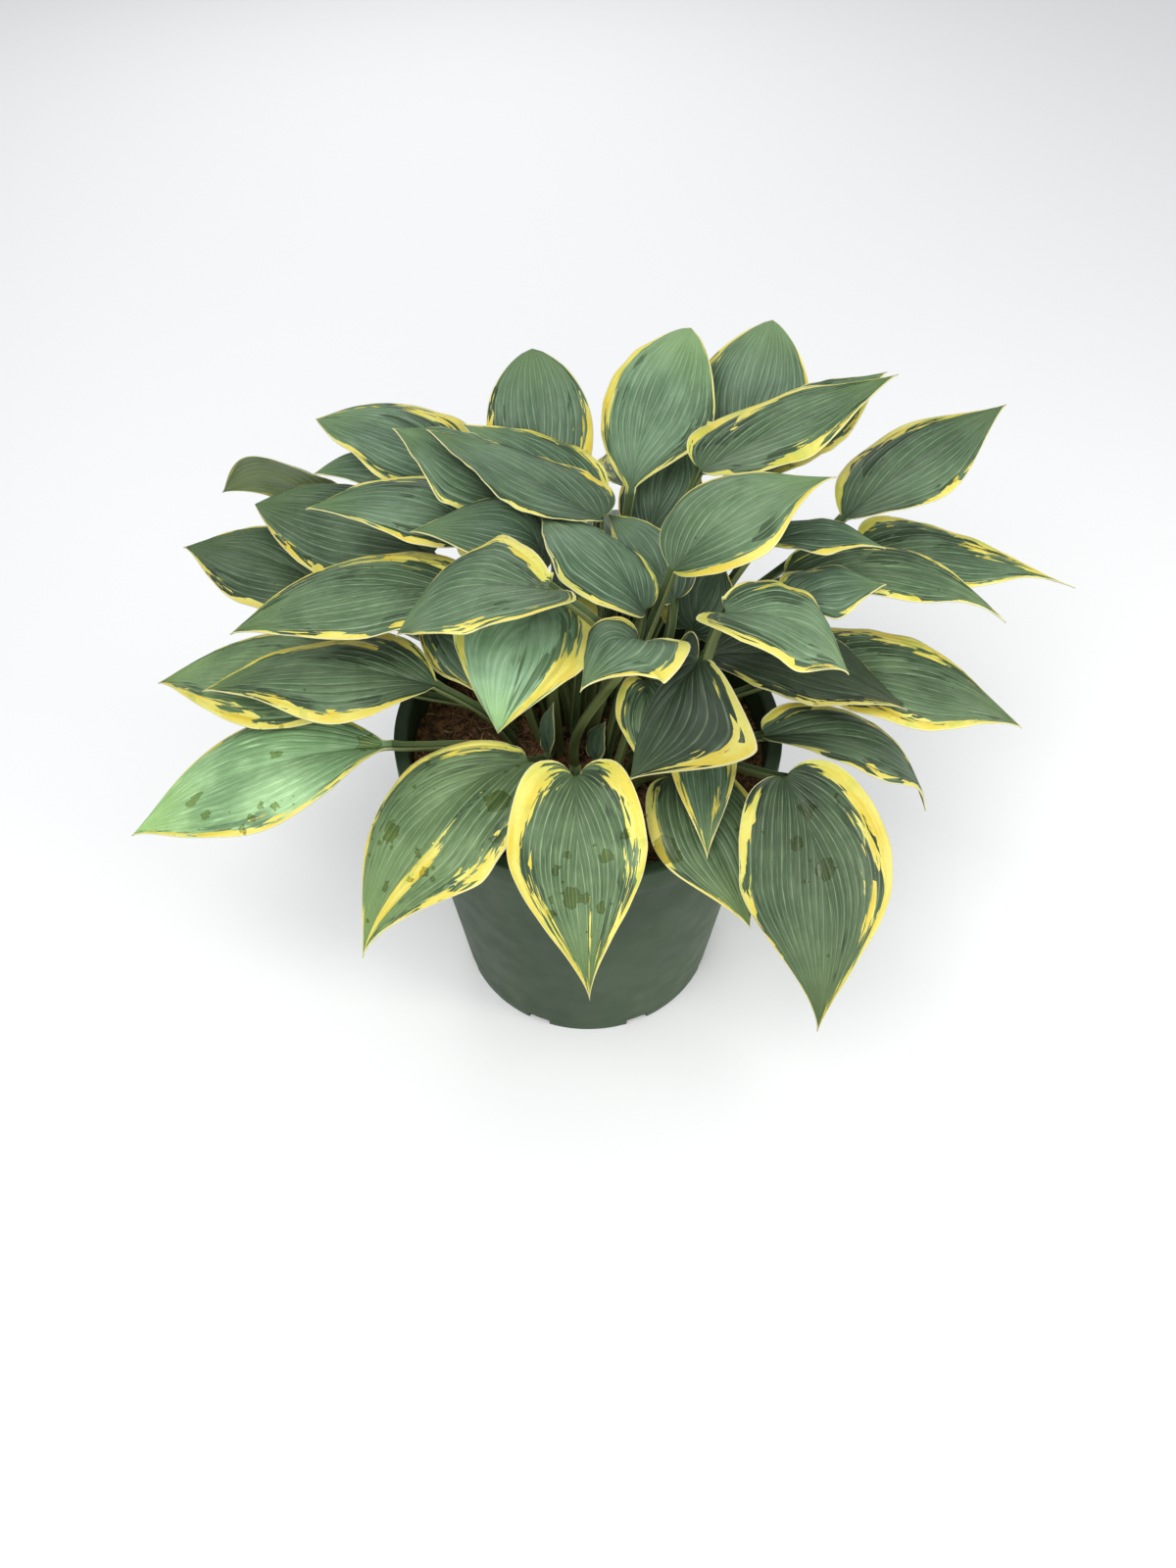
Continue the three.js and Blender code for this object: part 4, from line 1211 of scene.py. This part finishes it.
# %% Pot
NOTCHES = 8
NOTCH_RADIUS = 83.0  # how near the middle a notch begins
NOTCH_HEIGHT = 7.0
NOTCH_COLUMNS = 8
POT_COLUMNS = 288
WALL_ROWS = 30
FLOOR_RADII = (0, 30, 60)
POT_DARK = (0.029, 0.052, 0.025)
POT_LIGHT = (0.038, 0.066, 0.031)
POT_DUST = (0.11, 0.12, 0.085)
POT_SPECK = (0.03, 0.035, 0.024)


def pot_profile():
    """(radius, height) points from the underside's middle out, up the wall, over the
    rim and down the inside to the floor's middle, and where the notches' rows are."""
    base, out, hole, top = BASE_RADIUS, RIM_RADIUS, RIM_INNER_RADIUS, POT_HEIGHT
    foot, notch, floor = RIM_FOOT, NOTCH_HEIGHT, FLOOR_THICKNESS
    under = [(x, 0) for x in FLOOR_RADII]
    outer_corner = [(NOTCH_RADIUS, 0), (base - 1.1, 0), (base - 0.1, 0.4), (base + 0.3, 1.3),
                    (wall(notch), notch)]
    up = [(wall(z), z) for z in np.linspace(notch, foot - 3, WALL_ROWS)[1:]]
    rim = [(WALL_TOP_RADIUS + 0.2, foot - 0.8), (WALL_TOP_RADIUS + 1.2, foot - 0.1),
           (out - 1.4, foot), (out - 0.4, foot + 0.4), (out, foot + 1.5), (out, foot + 8),
           (out, top - 2), (out - 0.4, top - 0.8), (out - 1.4, top - 0.1), (out - 2.7, top),
           (hole + 2.2, top), (hole + 1, top - 0.3), (hole + 0.2, top - 1.1),
           (hole, top - 2.4), (hole, foot + 8)]
    down = [(wall(z) - WALL_THICKNESS, z) for z in np.linspace(foot, notch, WALL_ROWS)[:-1]]
    inner_corner = [(wall(notch) - WALL_THICKNESS, notch), (base - 2.4, floor + 1.6),
                    (base - 3.4, floor + 0.4), (base - 4.6, floor), (NOTCH_RADIUS, floor)]
    inside = [(x, floor) for x in reversed(FLOOR_RADII)]
    parts = [under, outer_corner, up, rim, down, inner_corner, inside]
    before = len(sum(parts[:5], []))  # points before the inner corner
    return np.array(sum(parts, []), float), len(under), before, len(outer_corner)


def make_pot():
    """The profile round the axis on a grid, with the notches' faces left out and
    their gap walled from the outer line to the inner one."""
    profile, outer, inner, corner = pot_profile()
    angle = np.linspace(0, 2 * np.pi, POT_COLUMNS, endpoint=False)
    radius, height = profile[1:-1, 0, None], profile[1:-1, 1, None]
    rings = np.stack([radius * np.cos(angle), radius * np.sin(angle), height + 0 * angle], -1)
    rows = len(rings)
    points = np.vstack([rings.reshape(-1, 3), [0, 0, 0], [0, 0, FLOOR_THICKNESS]])
    outer, inner = outer - 1, inner - 1  # the pole isn't in the grid

    start = (np.arange(NOTCHES) + 0.5) * POT_COLUMNS / NOTCHES - NOTCH_COLUMNS / 2
    gone = ((start[:, None] + np.arange(NOTCH_COLUMNS)) % POT_COLUMNS).astype(int).ravel()
    keep = np.ones((rows - 1, POT_COLUMNS), bool)
    for row in (outer, inner):
        keep[row : row + corner - 1, gone] = False
    faces = [grid_faces(rows, POT_COLUMNS)[keep.ravel()]]

    def number(row, column):
        return row * POT_COLUMNS + np.asarray(column) % POT_COLUMNS

    far = inner + corner - 1
    for low_row, high_row in ((outer, far), (outer + corner - 1, inner)):
        faces.append(np.stack([number(low_row, gone), number(low_row, gone + 1),
                               number(high_row, gone + 1), number(high_row, gone)], -1))
    for column in (start.astype(int), start.astype(int) + NOTCH_COLUMNS):
        for k in range(corner - 1):
            faces.append(np.stack([number(outer + k, column), number(outer + k + 1, column),
                                   number(far - k - 1, column), number(far - k, column)], -1))
    j = np.arange(POT_COLUMNS)
    pole = np.full(POT_COLUMNS, rows * POT_COLUMNS)
    faces.append(np.stack([pole, number(0, j), number(0, j + 1)], -1))
    faces.append(np.stack([pole + 1, number(rows - 1, j + 1), number(rows - 1, j)], -1))
    pot = make_piece("nursery_pot", points * MM, faces)

    shape = bmesh.new()
    shape.from_mesh(pot.data)
    bmesh.ops.recalc_face_normals(shape, faces=shape.faces)
    shape.to_mesh(pot.data)
    shape.free()
    pot.data.set_sharp_from_angle(angle=math.radians(32))
    return pot


def make_pot_material():
    """Grey-green moulded plastic: a slight sheen, faint cloudiness, thin dust in
    upright smears, and fine specks."""
    r = Recipe("grey_green_plastic")
    here = r.place()
    cloud = r.noise(here, 9, 3)
    colour = r.mix(r.ramp(cloud, 0.35, 0.65), POT_DARK, POT_LIGHT)
    stretched = r.vector("MULTIPLY", here, (1.0, 1.0, 0.25))
    dust = r.times(r.ramp(r.noise(stretched, 30, 4), 0.5, 0.78), 0.12)
    colour = r.mix(dust, colour, POT_DUST)
    speck = r.times(r.ramp(r.noise(here, 240, 2), 0.7, 0.78), 0.5)
    colour = r.mix(speck, colour, POT_SPECK)
    roughness = r.ramp(r.noise(here, 55, 4), 0.3, 0.7, 0.46, 0.56)
    normal = r.bump(r.noise(here, 900, 2), 0.0001, 0.1)
    return r.finish(colour, roughness, normal, Specular_IOR_Level=0.2)


pot = dress(make_pot(), make_pot_material(), "pot", "pot")
print("pot:", len(pot.data.polygons), "faces")
